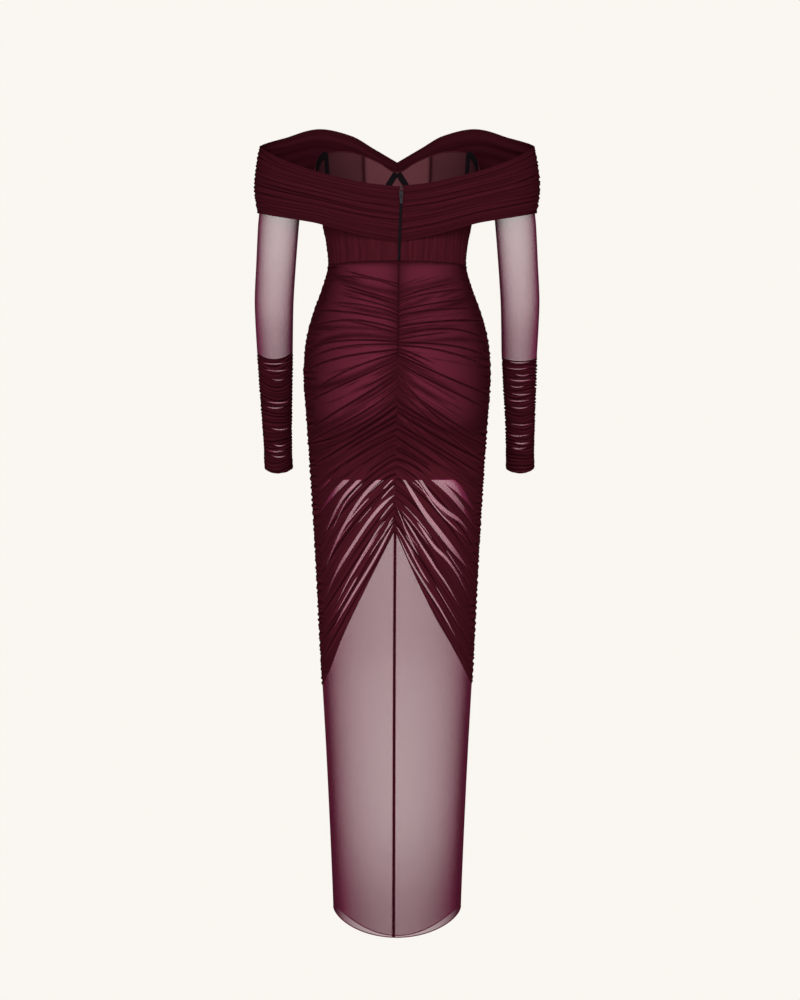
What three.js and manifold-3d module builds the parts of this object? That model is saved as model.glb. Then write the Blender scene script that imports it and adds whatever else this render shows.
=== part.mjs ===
// An off-the-shoulder evening dress, worn by nobody, as a hollow of sewn cloth walls.
// Millimetres. +Z is up, -Y is the wearer's front, +X the wearer's left.
// The origin is the middle of the body on the waist seam, where the dress is held.
import * as THREE from 'three';
import { mergeVertices } from 'three/addons/utils/BufferGeometryUtils.js';
import Module from 'manifold-3d';

const wasm = await Module();
wasm.setup();

// Cloth and seams
const wall = 2;
const seamGap = 0.3;
const layerGap = 0.3;
const looseGap = 1.6;
const liningWall = 1.6;
const corsetWall = 1.6;
const ridgeHeight = 1.3;
const clothDip = 0.5;

// Body of the dress: half of its width, and how far its back and its front stand off the middle
const body = [
  { z: 220, half: 149, back: 99, front: 110 },
  { z: 174, half: 147, back: 100, front: 112 },
  { z: 140, half: 142, back: 101, front: 112 },
  { z: 110, half: 136, back: 99, front: 110 },
  { z: 67, half: 127.5, back: 94, front: 102 },
  { z: 40, half: 122, back: 90.5, front: 95 },
  { z: 0, half: 119, back: 88, front: 88 },
  { z: -40, half: 130, back: 94, front: 91 },
  { z: -74, half: 142.5, back: 103, front: 94 },
  { z: -108, half: 152.5, back: 112, front: 97 },
  { z: -143, half: 158.5, back: 119, front: 100 },
  { z: -186, half: 160.5, back: 124, front: 103 },
  { z: -246, half: 157, back: 122, front: 105 },
  { z: -349, half: 149, back: 112, front: 104 },
  { z: -487, half: 140.5, back: 106, front: 102 },
  { z: -679, half: 130.5, back: 103, front: 102 },
  { z: -848, half: 121, back: 103, front: 103 },
  { z: -1041, half: 112, back: 104, front: 104 },
  { z: -1180, half: 107, back: 104, front: 104 },
];
const bust = { depth: 18, across: 76, width: 46, z: 140, height: 56 };

// The centre back seam leans a little across the back
const backSeam = [
  { z: 124, x: -7.5 },
  { z: 0, x: -3.4 },
  { z: -170, x: -1.5 },
  { z: -480, x: 3.4 },
  { z: -1180, x: 6 },
];

// Skirt: where one fold line starts on the back seam, and where it meets the side seam
const foldLines = [
  { seam: 0, side: 0, bow: 1 },
  { seam: -52, side: -8, bow: 1 },
  { seam: -80, side: -30, bow: 1 },
  { seam: -102, side: -48, bow: 1 },
  { seam: -150, side: -143, bow: 1 },
  { seam: -276, side: -351, bow: 1.05 },
  { seam: -470, side: -699, bow: 1.13 },
];
const skirt = { folds: 25, innerRows: 20, smoothRows: 6, backColumns: 6, frontColumns: 12 };
const frontRise = 0.93;
const hem = { side: -1099, back: -1132, front: -1172, backPower: 1.4, frontPower: 1.7 };
const lining = { hem: -366, rows: 9, columns: 6 };
const seamStrip = { top: -372, rows: 14, wide: 5, thick: 1, inside: 2.7 };

// Bodice of mesh over the corset, and the top edge of the corset with its cups
const bodice = { belowEdge: 12, backRows: 5, frontRows: 8, backColumns: 8, frontColumns: 22 };
const corsetTop = [
  { angle: 0, z: 98 },
  { angle: 45, z: 112 },
  { angle: 75, z: 145 },
  { angle: 95, z: 168 },
  { angle: 110, z: 190 },
  { angle: 125, z: 205 },
  { angle: 143, z: 211 },
  { angle: 156, z: 206 },
  { angle: 168, z: 194 },
  { angle: 176, z: 181 },
  { angle: 180, z: 179 },
];
const corset = {
  sideSeam: 78,
  cupSeam: 156,
  backRows: 6,
  frontRows: 11,
  backColumns: 7,
  cupColumns: 11,
  centerColumns: 6,
};
const binding = { height: 2.8, thick: 2.4 };

// Black tapes sewn inside the cups, as their middle line on the corset and their width
const tapeWide = 8.5;
const tapeThick = 1;
const tapeGap = 0.9;
const centerTape = [
  { angle: 177.7, z: 173 },
  { angle: 173.2, z: 150 },
  { angle: 168, z: 118 },
  { angle: 164, z: 80 },
];
const sideTape = [
  { angle: 101, z: 168 },
  { angle: 112, z: 186 },
  { angle: 123, z: 197 },
  { angle: 129, z: 189 },
  { angle: 128, z: 165 },
  { angle: 127, z: 110 },
];

// Band around the upper arms: its edges around the wearer, and its swell from top to bottom
const bandEdge = [
  { angle: 0, top: 123, bottom: 31 },
  { angle: 14, top: 130, bottom: 42 },
  { angle: 24, top: 139, bottom: 53 },
  { angle: 37, top: 152, bottom: 66 },
  { angle: 74, top: 195, bottom: 86 },
  { angle: 90, top: 208, bottom: 92 },
  { angle: 123, top: 235, bottom: 112 },
  { angle: 144, top: 256, bottom: 131 },
  { angle: 160, top: 245, bottom: 124 },
  { angle: 170, top: 222, bottom: 111 },
  { angle: 180, top: 197, bottom: 100 },
];
const bandSwell = [
  { down: 0, half: 236, back: 104, front: 108 },
  { down: 0.3, half: 242, back: 103, front: 118 },
  { down: 0.65, half: 245, back: 100, front: 125 },
  { down: 1, half: 240, back: 92.3, front: 123 },
];
const band = {
  pleats: 11,
  pleat: 1.2,
  innerRows: 6,
  columns: 9,
  ease: 7,
  easeAngle: 28,
  square: 2.6,
};

// Sleeve of the left arm, from inside the band over the bent elbow to the hand
const arm = [
  { z: 104, x: 201.6, y: 3, radius: 35.2 },
  { z: 88, x: 202.2, y: 3, radius: 35 },
  { z: 67, x: 204, y: 4, radius: 35 },
  { z: 0, x: 208, y: 6, radius: 34 },
  { z: -57, x: 211, y: 6, radius: 33.5 },
  { z: -95, x: 211.5, y: -4, radius: 32.5 },
  { z: -143, x: 212, y: -33, radius: 31 },
  { z: -190, x: 212.5, y: -65, radius: 29.5 },
  { z: -259, x: 213, y: -110, radius: 26.5 },
  { z: -312, x: 213, y: -144, radius: 25 },
  { z: -343, x: 213, y: -164, radius: 25.5 },
];
const sleeve = { columns: 16, rows: 8, deeper: 1.06, cuffFrom: 0.545 };
const cuff = { columns: 12, gathers: 22, innerRows: 8, gather: 1.1 };
const rightFlare = { out: 8, from: -143, over: 200 };

// Zip in the back seam, down to the waist, with its slider, pull tab, hook and eye
const chain = { wide: 4.4, top: 116.5, bottom: 1.2, inside: 1.7, proud: 0.7, rows: 16 };
const overPleats = 1.5;
const belowBand = 9;
const slider = { z: 110, wide: 6.4, tall: 9, thick: 2.2 };
const bridge = { wide: 1.2, tall: 6.4, deep: 2.6, bar: 0.8, legs: 1.2, chamfer: 0.8 };
const pull = {
  thick: 0.9,
  wide: 4.6,
  long: 15.5,
  corner: 1.3,
  window: 2.2,
  windowLong: 5.4,
  belowWindow: 0.6,
  waist: 0.7,
  shoulder: 2,
  abovePlate: 0.9,
  barClear: 0.95,
};
const eye = { z: 120.6, x: 1.1, outer: 1.9, inner: 1, thick: 0.8 };
const hook = { wide: 1.2, thick: 0.7, clear: 0.3, length: 4.4, beak: 1.1, pastEye: 0.35 };

const colours = {
  mesh: 0x4a1824,
  lining: 0x3a0f1c,
  corset: 0x5e3238,
  tape: 0x121012,
  metal: 0x8f8f93,
};

const degree = Math.PI / 180;

// The value of one column of a table where another column has a given value, on a smooth curve
function lookUp(table, key, column, at) {
  const rising = table[1][key] > table[0][key] ? 1 : -1;
  let row = 0;
  while (row < table.length - 2 && (at - table[row + 1][key]) * rising > 0) row += 1;
  const slopeAt = (index) => {
    const before = table[Math.max(index - 1, 0)];
    const after = table[Math.min(index + 1, table.length - 1)];
    return (after[column] - before[column]) / (after[key] - before[key]);
  };
  const from = table[row];
  const to = table[row + 1];
  const span = to[key] - from[key];
  const share = THREE.MathUtils.clamp((at - from[key]) / span, 0, 1);
  const square = share * share;
  const cube = square * share;
  return (
    (2 * cube - 3 * square + 1) * from[column] +
    (cube - 2 * square + share) * span * slopeAt(row) +
    (3 * square - 2 * cube) * to[column] +
    (cube - square) * span * slopeAt(row + 1)
  );
}

// A closed cloth wall between an outer and an inner grid of points, rows from the top down.
// Both grids have the same columns, and each may have its own number of rows.
function wallSolid(outer, inner, isTube) {
  const columns = outer[0].length;
  const points = [...outer.flat(), ...inner.flat()];
  const outerAt = (row, column) => row * columns + (column % columns);
  const innerAt = (row, column) => (outer.length + row) * columns + (column % columns);
  const faces = [];
  const last = isTube ? columns : columns - 1;
  const lastOuter = outer.length - 1;
  const lastInner = inner.length - 1;
  for (let column = 0; column < last; column += 1) {
    const next = column + 1;
    for (let row = 0; row < lastOuter; row += 1) {
      faces.push(outerAt(row, column), outerAt(row + 1, column), outerAt(row, next));
      faces.push(outerAt(row + 1, column), outerAt(row + 1, next), outerAt(row, next));
    }
    for (let row = 0; row < lastInner; row += 1) {
      faces.push(innerAt(row, column), innerAt(row, next), innerAt(row + 1, column));
      faces.push(innerAt(row + 1, column), innerAt(row, next), innerAt(row + 1, next));
    }
    faces.push(outerAt(0, column), outerAt(0, next), innerAt(0, column));
    faces.push(outerAt(0, next), innerAt(0, next), innerAt(0, column));
    faces.push(outerAt(lastOuter, next), outerAt(lastOuter, column), innerAt(lastInner, column));
    faces.push(innerAt(lastInner, column), innerAt(lastInner, next), outerAt(lastOuter, next));
  }
  if (!isTube) {
    closeSide(faces, (row) => outerAt(row, 0), (row) => innerAt(row, 0), lastOuter, lastInner, false);
    const end = columns - 1;
    closeSide(faces, (row) => outerAt(row, end), (row) => innerAt(row, end), lastOuter, lastInner, true);
  }
  return solidOf(points, faces);
}

// The narrow face down one side of a wall, between its outer and its inner edge
function closeSide(faces, outerAt, innerAt, lastOuter, lastInner, turned) {
  let outerRow = 0;
  let innerRow = 0;
  while (outerRow < lastOuter || innerRow < lastInner) {
    const outerNext = (outerRow + 1) / lastOuter;
    const innerNext = (innerRow + 1) / lastInner;
    const goOuter = innerRow === lastInner || (outerRow < lastOuter && outerNext <= innerNext);
    const triangle = goOuter
      ? [outerAt(outerRow + 1), outerAt(outerRow), innerAt(innerRow)]
      : [innerAt(innerRow), innerAt(innerRow + 1), outerAt(outerRow)];
    if (turned) triangle.reverse();
    faces.push(...triangle);
    if (goOuter) outerRow += 1;
    else innerRow += 1;
  }
}

// A geometry of points and faces, turned so that its faces look out
function solidOf(points, faces) {
  let volume = 0;
  for (let start = 0; start < faces.length; start += 3) {
    const [a, b, c] = [0, 1, 2].map((corner) => points[faces[start + corner]]);
    volume += a.dot(b.clone().cross(c));
  }
  const ordered = volume < 0 ? faces.slice().reverse() : faces;
  const geometry = new THREE.BufferGeometry();
  geometry.setFromPoints(points);
  geometry.setIndex(ordered);
  geometry.computeVertexNormals();
  return geometry;
}

// A grid of points, from row 0 to rows and column 0 to columns
function grid(rows, columns, pointAt) {
  const rowList = [];
  for (let row = 0; row <= rows; row += 1) {
    const points = [];
    for (let column = 0; column <= columns; column += 1) points.push(pointAt(row, column));
    rowList.push(points);
  }
  return rowList;
}

// A point of a ring around the wearer: angle 0 is the back, 90 the left side, 180 the front.
// Square 2 makes an ellipse, and more than 2 a ring with fuller corners.
function ringPoint(angle, z, half, back, front, offset, square = 2) {
  const across = Math.sin(angle * degree);
  const isBack = Math.cos(angle * degree) > 0;
  const depth = isBack ? back : front;
  const along = (1 - Math.abs(across) ** square) ** (1 / square) * (isBack ? 1 : -1);
  const outward = new THREE.Vector2(
    (Math.abs(across) ** (square - 1) * Math.sign(across)) / half,
    (Math.abs(along) ** (square - 1) * Math.sign(along)) / depth,
  ).normalize();
  return new THREE.Vector3(
    half * across + outward.x * offset,
    depth * along + outward.y * offset,
    z,
  );
}

// A point of the body, moved out from its surface by the offset
function bodyPoint(angle, z, offset) {
  const half = lookUp(body, 'z', 'half', z);
  const back = lookUp(body, 'z', 'back', z);
  const front = lookUp(body, 'z', 'front', z);
  const point = ringPoint(angle, z, half, back, front, offset);
  const forward = Math.max(-Math.cos(angle * degree), 0);
  const sideways = Math.exp(-(((Math.abs(point.x) - bust.across) / bust.width) ** 2));
  const upward = Math.exp(-(((z - bust.z) / bust.height) ** 2));
  point.y -= bust.depth * sideways * upward * Math.sqrt(forward);
  return point;
}

// The angle that lies some millimetres further around the body at a height
function angleAlong(angle, z, distance) {
  const step = 0.5;
  const here = bodyPoint(angle, z, 0);
  const there = bodyPoint(angle + step, z, 0);
  return angle + (distance * step) / here.distanceTo(there);
}

function backSeamAngle(z) {
  const half = lookUp(body, 'z', 'half', z);
  return Math.asin(lookUp(backSeam, 'z', 'x', z) / half) / degree;
}

// The two angles between which a panel lies at a height
const panels = {
  back_left: (z, gap) => [angleAlong(backSeamAngle(z), z, gap), angleAlong(90, z, -seamGap / 2)],
  back_right: (z, gap) => [angleAlong(-90, z, seamGap / 2), angleAlong(backSeamAngle(z), z, -gap)],
  front: (z) => [angleAlong(90, z, seamGap / 2), angleAlong(270, z, -seamGap / 2)],
};

// Height of a fold line of the skirt at an angle, for the fold that starts at a height on the seam
function foldHeight(seamZ, angle) {
  const side = lookUp(foldLines, 'seam', 'side', seamZ);
  const bow = lookUp(foldLines, 'seam', 'bow', seamZ);
  const across = Math.abs(Math.sin(angle * degree));
  if (Math.cos(angle * degree) >= 0) return seamZ + (side - seamZ) * across ** bow;
  const middle = seamZ * frontRise;
  return middle + (side - middle) * across ** 2;
}

function hemHeight(angle) {
  const along = Math.cos(angle * degree);
  if (along > 0) return hem.side + (hem.back - hem.side) * along ** hem.backPower;
  return hem.side + (hem.front - hem.side) * (-along) ** hem.frontPower;
}

// Skirt panel: gathered fold lines down to the last fold, and smooth cloth from there to the hem
function skirtPanel(panel, columns) {
  const lastSeam = foldLines[foldLines.length - 1].seam;
  const point = (foldShare, smoothShare, column, offset) => {
    const seamZ = lastSeam * foldShare - seamGap / 2;
    const [from, to] = panels[panel](seamZ, seamGap / 2);
    const angle = from + ((to - from) * column) / columns;
    const folded = foldHeight(seamZ, angle);
    const z = folded + (hemHeight(angle) - folded) * smoothShare;
    const [fromHere, toHere] = panels[panel](z, seamGap / 2);
    return bodyPoint(fromHere + ((toHere - fromHere) * column) / columns, z, offset);
  };
  const foldRows = skirt.folds * 2;
  const outer = grid(foldRows + skirt.smoothRows, columns, (row, column) => {
    const foldShare = Math.min(row / foldRows, 1);
    const smoothShare = Math.max(row - foldRows, 0) / skirt.smoothRows;
    const isRidge = row < foldRows && row % 2 === 1;
    return point(foldShare, smoothShare, column, isRidge ? ridgeHeight : -clothDip);
  });
  const innerRows = skirt.innerRows + skirt.smoothRows;
  const inner = grid(innerRows, columns, (row, column) => {
    const foldShare = Math.min(row / skirt.innerRows, 1);
    const smoothShare = Math.max(row - skirt.innerRows, 0) / skirt.smoothRows;
    return point(foldShare, smoothShare, column, -wall);
  });
  return wallSolid(outer, inner, false);
}

// A plain wall of a panel between two heights that may change with the angle
function plainPanel(angles, topZ, bottomZ, outside, thick, rows, columns) {
  const face = (offset) => grid(rows, columns, (row, column) => {
    const share = row / rows;
    const roughZ = bottomZ(0) * share + topZ(0) * (1 - share);
    const [from, to] = angles(roughZ);
    const angle = from + ((to - from) * column) / columns;
    const z = topZ(angle) + (bottomZ(angle) - topZ(angle)) * share;
    const [fromHere, toHere] = angles(z);
    return bodyPoint(fromHere + ((toHere - fromHere) * column) / columns, z, offset);
  });
  return wallSolid(face(outside), face(outside - thick), false);
}

const liningOutside = -wall - looseGap;
const corsetOutside = -wall - looseGap;
const waistHalfGap = seamGap / 2;

function liningPanel(panel, columns) {
  const angles = (z) => panels[panel](z, waistHalfGap);
  const top = () => -waistHalfGap;
  const bottom = () => lining.hem;
  return plainPanel(angles, top, bottom, liningOutside, liningWall, lining.rows, columns);
}

function corsetEdge(angle) {
  const turned = Math.abs(THREE.MathUtils.euclideanModulo(angle + 180, 360) - 180);
  return lookUp(corsetTop, 'angle', 'z', turned);
}

function bodicePanel(panel, rows, columns) {
  const zipHalf = chain.wide / 2 + seamGap;
  const angles = (z) => panels[panel](z, zipHalf);
  const top = (angle) => corsetEdge(angle) - bodice.belowEdge;
  const bottom = () => waistHalfGap;
  return plainPanel(angles, top, bottom, 0, wall, rows, columns);
}

// Corset panel between two angles that stay the same at every height
function corsetPanel(from, to, columns) {
  const angles = (z) => [angleAlong(from, z, seamGap / 2), angleAlong(to, z, -seamGap / 2)];
  const bottom = () => waistHalfGap;
  const { frontRows } = corset;
  return plainPanel(angles, corsetEdge, bottom, corsetOutside, corsetWall, frontRows, columns);
}

function corsetBackPanel(side) {
  const angles = (z) => {
    const middle = angleAlong(backSeamAngle(z), z, (side * seamGap) / 2);
    const outer = angleAlong(side * corset.sideSeam, z, (-side * seamGap) / 2);
    return side > 0 ? [middle, outer] : [outer, middle];
  };
  const bottom = () => waistHalfGap;
  const { backRows, backColumns } = corset;
  return plainPanel(angles, corsetEdge, bottom, corsetOutside, corsetWall, backRows, backColumns);
}

// Bound top edge of the cups of one side, a small roll that sits on the edge of the cloth.
// Its points stand over those of the cup and of the front's middle.
function bindingStrip(side) {
  const { sideSeam, cupSeam, cupColumns } = corset;
  const columns = cupColumns + corset.centerColumns / 2;
  const middle = corsetOutside - corsetWall / 2;
  const face = (offset) => grid(1, columns, (row, column) => {
    const overCup = Math.min(column / cupColumns, 1);
    const overCenter = Math.max(column - cupColumns, 0) / (columns - cupColumns);
    const angle = side * (sideSeam + (cupSeam - sideSeam) * overCup + (180 - cupSeam) * overCenter);
    const foot = corsetEdge(angle) + layerGap;
    const inset = column === columns ? angleAlong(angle, foot, (-side * seamGap) / 2) : angle;
    return bodyPoint(inset, foot + binding.height * (1 - row), offset);
  });
  return wallSolid(face(middle + binding.thick / 2), face(middle - binding.thick / 2), false);
}

// Tape on the inside of the corset along a middle line, with square ends
function tapeStrip(line, side) {
  const steps = 3;
  const aside = 0.1;
  const rows = (line.length - 1) * steps;
  const keyed = line.map((row, index) => ({ ...row, index }));
  const outside = corsetOutside - corsetWall - tapeGap;
  const middleAt = (index) => ({
    angle: lookUp(keyed, 'index', 'angle', index),
    z: lookUp(keyed, 'index', 'z', index),
  });
  const face = (offset) => grid(rows, 1, (row, column) => {
    const index = row / steps;
    const here = middleAt(index);
    const before = middleAt(Math.max(index - aside, 0));
    const after = middleAt(Math.min(index + aside, line.length - 1));
    const around = (after.angle - before.angle) * degree * body[1].half;
    const heading = new THREE.Vector2(around, after.z - before.z).normalize();
    const shift = (column - 0.5) * tapeWide;
    const z = here.z + heading.x * shift;
    const angle = angleAlong(side * here.angle, here.z, -side * heading.y * shift);
    return bodyPoint(angle, z, offset);
  });
  return wallSolid(face(outside), face(outside - tapeThick), false);
}

// Point of the band: angle around the wearer, and down from 0 at its top edge to 1 at its bottom
function bandPoint(angle, down, offset) {
  const turned = Math.abs(THREE.MathUtils.euclideanModulo(angle + 180, 360) - 180);
  const top = lookUp(bandEdge, 'angle', 'top', turned);
  const bottom = lookUp(bandEdge, 'angle', 'bottom', turned);
  const half = lookUp(bandSwell, 'down', 'half', down);
  const back = lookUp(bandSwell, 'down', 'back', down);
  const front = lookUp(bandSwell, 'down', 'front', down);
  const isBack = Math.cos(angle * degree) > 0;
  const ease = isBack ? Math.min(turned / band.easeAngle, 1) : 1;
  const swell = band.ease * ease * Math.sin(Math.PI * down) * Math.abs(Math.cos(angle * degree));
  const z = top + (bottom - top) * down;
  return ringPoint(angle, z, half, back, front, offset + swell, band.square);
}

// One quarter of the band, with its pleats lying around the arm
function bandPanel(place) {
  const middleAngle = (z) => Math.asin(lookUp(backSeam, 'z', 'x', z) / bandSwell[0].half) / degree;
  const zipHalf = chain.wide / 2 + seamGap;
  const nudge = (angle, distance) => {
    const step = 0.5;
    const here = bandPoint(angle, 0.5, 0);
    return angle + (distance * step) / here.distanceTo(bandPoint(angle + step, 0.5, 0));
  };
  const ranges = {
    back_left: (z) => [nudge(middleAngle(z), zipHalf), nudge(90, -seamGap / 2)],
    back_right: (z) => [nudge(-90, seamGap / 2), nudge(middleAngle(z), -zipHalf)],
    front_left: () => [nudge(90, seamGap / 2), nudge(180, -seamGap / 2)],
    front_right: () => [nudge(180, seamGap / 2), nudge(270, -seamGap / 2)],
  };
  const face = (rows, offsetAt) => grid(rows, band.columns, (row, column) => {
    const down = row / rows;
    const edge = bandEdge[0];
    const [from, to] = ranges[place](edge.top + (edge.bottom - edge.top) * down);
    return bandPoint(from + ((to - from) * column) / band.columns, down, offsetAt(row));
  });
  const rows = band.pleats * 2;
  const outer = face(rows, (row) => (row % 2 === 1 ? band.pleat : -clothDip));
  return wallSolid(outer, face(band.innerRows, () => -wall), false);
}

// The middle of the arm and the ring around it, for a share of the way from armhole to wrist
function armRing(share, side) {
  const z = arm[0].z + (arm[arm.length - 1].z - arm[0].z) * share;
  const middleAt = (height) => {
    const flare = rightFlare.out * Math.max(rightFlare.from - height, 0) / rightFlare.over;
    const outward = side < 0 ? flare : 0;
    const x = lookUp(arm, 'z', 'x', height) + outward;
    return new THREE.Vector3(side * x, lookUp(arm, 'z', 'y', height), height);
  };
  const run = middleAt(z - 4).sub(middleAt(z + 4)).normalize();
  const across = new THREE.Vector3(1, 0, 0);
  across.addScaledVector(run, -across.dot(run)).normalize();
  const deep = run.clone().cross(across);
  return { middle: middleAt(z), across, deep, radius: lookUp(arm, 'z', 'radius', z) };
}

function armPoint(share, side, column, columns, offset) {
  const ring = armRing(share, side);
  const turn = (2 * Math.PI * column) / columns;
  return ring.middle
    .clone()
    .addScaledVector(ring.across, (ring.radius + offset) * Math.cos(turn))
    .addScaledVector(ring.deep, (ring.radius * sleeve.deeper + offset) * Math.sin(turn));
}

function sleeveTube(side) {
  const { rows, columns, cuffFrom } = sleeve;
  const gap = seamGap / 2 / (arm[0].z - arm[arm.length - 1].z);
  const face = (offset) => grid(rows, columns - 1, (row, column) => {
    const share = (cuffFrom - gap) * (row / rows);
    return armPoint(share, side, column, columns, offset);
  });
  return wallSolid(face(0), face(-wall), true);
}

function cuffTube(side) {
  const { gathers, innerRows, columns, gather } = cuff;
  const gap = seamGap / 2 / (arm[0].z - arm[arm.length - 1].z);
  const from = sleeve.cuffFrom + gap;
  const face = (rows, offsetAt) => grid(rows, columns - 1, (row, column) => {
    const share = from + (1 - from) * (row / rows);
    return armPoint(share, side, column, columns, offsetAt(row));
  });
  const outer = face(gathers * 2, (row) => (row % 2 === 1 ? gather : -clothDip));
  return wallSolid(outer, face(innerRows, () => -wall), true);
}

// Outside of the back at the zip: the bodice up to the band, and the band from there on
function zipSurface(z) {
  const edge = bandEdge[0];
  const overBand = lookUp(bandSwell, 'down', 'back', (edge.top - z) / (edge.top - edge.bottom));
  const overBodice = lookUp(body, 'z', 'back', z);
  const step = THREE.MathUtils.smoothstep(z, edge.bottom - belowBand, edge.bottom);
  return overBodice + (overBand - overBodice) * step;
}

function zipChain() {
  const face = (offset) => grid(chain.rows, 1, (row, column) => {
    const z = chain.top + ((chain.bottom - chain.top) * row) / chain.rows;
    const x = lookUp(backSeam, 'z', 'x', z) + (column - 0.5) * chain.wide;
    return new THREE.Vector3(x, zipSurface(z) + offset, z);
  });
  return wallSolid(face(chain.proud), face(-chain.inside), false);
}

// The sewn allowance inside the back seam, below the lining's hem
function backSeamStrip() {
  const bottom = hemHeight(0) + seamGap;
  const face = (offset) => grid(seamStrip.rows, 1, (row, column) => {
    const z = seamStrip.top + ((bottom - seamStrip.top) * row) / seamStrip.rows;
    const angle = angleAlong(backSeamAngle(z), z, (column - 0.5) * seamStrip.wide);
    return bodyPoint(angle, z, offset);
  });
  return wallSolid(face(-seamStrip.inside), face(-seamStrip.inside - seamStrip.thick), false);
}

// An outline pushed out along an axis and centred on it: 'x' takes (y, z), 'y' (x, z), 'z' (x, y)
function slab(corners, axis, thick, holes = []) {
  const path = (list) => list.map(([u, v]) => new THREE.Vector2(u, v));
  const shape = new THREE.Shape(path(corners));
  for (const hole of holes) shape.holes.push(new THREE.Path(path(hole)));
  const geometry = new THREE.ExtrudeGeometry(shape, { depth: thick, bevelEnabled: false });
  geometry.translate(0, 0, -thick / 2);
  const [x, y, z] = [[1, 0, 0], [0, 1, 0], [0, 0, 1]].map((unit) => new THREE.Vector3(...unit));
  const bases = { x: [y, z, x], y: [x, z, y.clone().negate()], z: [x, y, z] };
  return geometry.applyMatrix4(new THREE.Matrix4().makeBasis(...bases[axis]));
}

function rectangle(left, bottom, right, top) {
  return [[left, bottom], [right, bottom], [right, top], [left, top]];
}

function circle(x, y, radius, sides = 12) {
  return Array.from({ length: sides }, (_, side) => {
    const turn = (2 * Math.PI * side) / sides;
    return [x + radius * Math.cos(turn), y + radius * Math.sin(turn)];
  });
}

// Joins geometries into one closed solid
function joined(geometries) {
  const solids = geometries.map((geometry) => {
    geometry.deleteAttribute('normal');
    geometry.deleteAttribute('uv');
    const merged = mergeVertices(geometry);
    const vertProperties = new Float32Array(merged.attributes.position.array);
    const triVerts = new Uint32Array(merged.index.array);
    return new wasm.Manifold(new wasm.Mesh({ numProp: 3, vertProperties, triVerts }));
  });
  const whole = solids.reduce((sum, solid) => sum.add(solid)).getMesh();
  const geometry = new THREE.BufferGeometry();
  geometry.setAttribute('position', new THREE.BufferAttribute(whole.vertProperties, 3));
  geometry.setIndex(Array.from(whole.triVerts));
  geometry.computeVertexNormals();
  return geometry;
}

// Where the slider's plate lies on the zip, with +Y out of the cloth
const sliderSeat = new THREE.Vector3(
  lookUp(backSeam, 'z', 'x', slider.z),
  zipSurface(slider.z) + overPleats,
  slider.z,
);
const eyeLow = -bridge.tall / 2 + bridge.legs;
const barHeight = eyeLow + pull.barClear;
const hinge = new THREE.Vector3(0, slider.thick + pull.abovePlate, barHeight).add(sliderSeat);

// Slider: a plate over the teeth, and a narrow bridge whose eye holds the bar of the pull tab
function zipSlider() {
  const plate = slab(
    rectangle(-slider.wide / 2, -slider.tall / 2, slider.wide / 2, slider.tall / 2),
    'y',
    slider.thick,
  );
  plate.translate(0, slider.thick / 2, 0);
  const half = bridge.tall / 2;
  const foot = slider.thick / 2;
  const top = slider.thick + bridge.deep;
  const cut = bridge.chamfer;
  const outline = [
    [foot, -half],
    [top - cut, -half],
    [top, -half + cut],
    [top, half - cut],
    [top - cut, half],
    [foot, half],
  ];
  const opening = rectangle(slider.thick, eyeLow, top - bridge.bar, -eyeLow);
  const arch = slab(outline, 'x', bridge.wide, [opening]);
  return joined([plate, arch]);
}

// Pull tab around its hinge: a bar through the slider's bridge, a window for the bridge, a flat tab
function pullTab() {
  const bar = pull.thick / 2;
  const half = pull.wide / 2;
  const waist = half * pull.waist;
  const { corner } = pull;
  const belowWindow = -pull.windowLong - pull.belowWindow;
  const outline = [
    [-half, bar],
    [-half, belowWindow],
    [-waist, belowWindow - pull.shoulder],
    [-half, -pull.long + corner],
    [-half + corner, -pull.long],
    [half - corner, -pull.long],
    [half, -pull.long + corner],
    [waist, belowWindow - pull.shoulder],
    [half, belowWindow],
    [half, bar],
  ];
  const window = rectangle(-pull.window / 2, -pull.windowLong, pull.window / 2, -bar);
  return slab(outline, 'y', pull.thick, [window]);
}

// Eye on the left half of the band's top, and the hook of the right half caught over its ring
function hookEye() {
  const ring = circle(eye.x, 0, eye.outer);
  return slab(ring, 'y', eye.thick, [circle(eye.x, 0, eye.inner)]);
}

function hookBar() {
  const over = eye.thick / 2 + hook.clear;
  const tip = eye.x + hook.pastEye;
  const outline = [
    [tip - hook.length, over],
    [tip - hook.thick, over],
    [tip - hook.thick, over - hook.beak],
    [tip, over - hook.beak],
    [tip, over + hook.thick],
    [tip - hook.length, over + hook.thick],
  ];
  return slab(outline, 'z', hook.wide);
}

const dress = new THREE.Group();
dress.name = 'off_shoulder_dress';

const materials = {
  mesh: new THREE.MeshStandardMaterial({ color: colours.mesh, roughness: 0.85, metalness: 0 }),
  lining: new THREE.MeshStandardMaterial({ color: colours.lining, roughness: 0.75, metalness: 0 }),
  corset: new THREE.MeshStandardMaterial({ color: colours.corset, roughness: 0.8, metalness: 0 }),
  tape: new THREE.MeshStandardMaterial({ color: colours.tape, roughness: 0.7, metalness: 0 }),
  metal: new THREE.MeshStandardMaterial({ color: colours.metal, roughness: 0.35, metalness: 1 }),
};

function add(name, geometry, material) {
  const mesh = new THREE.Mesh(geometry, materials[material].clone());
  mesh.name = name;
  dress.add(mesh);
  return mesh;
}

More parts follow.
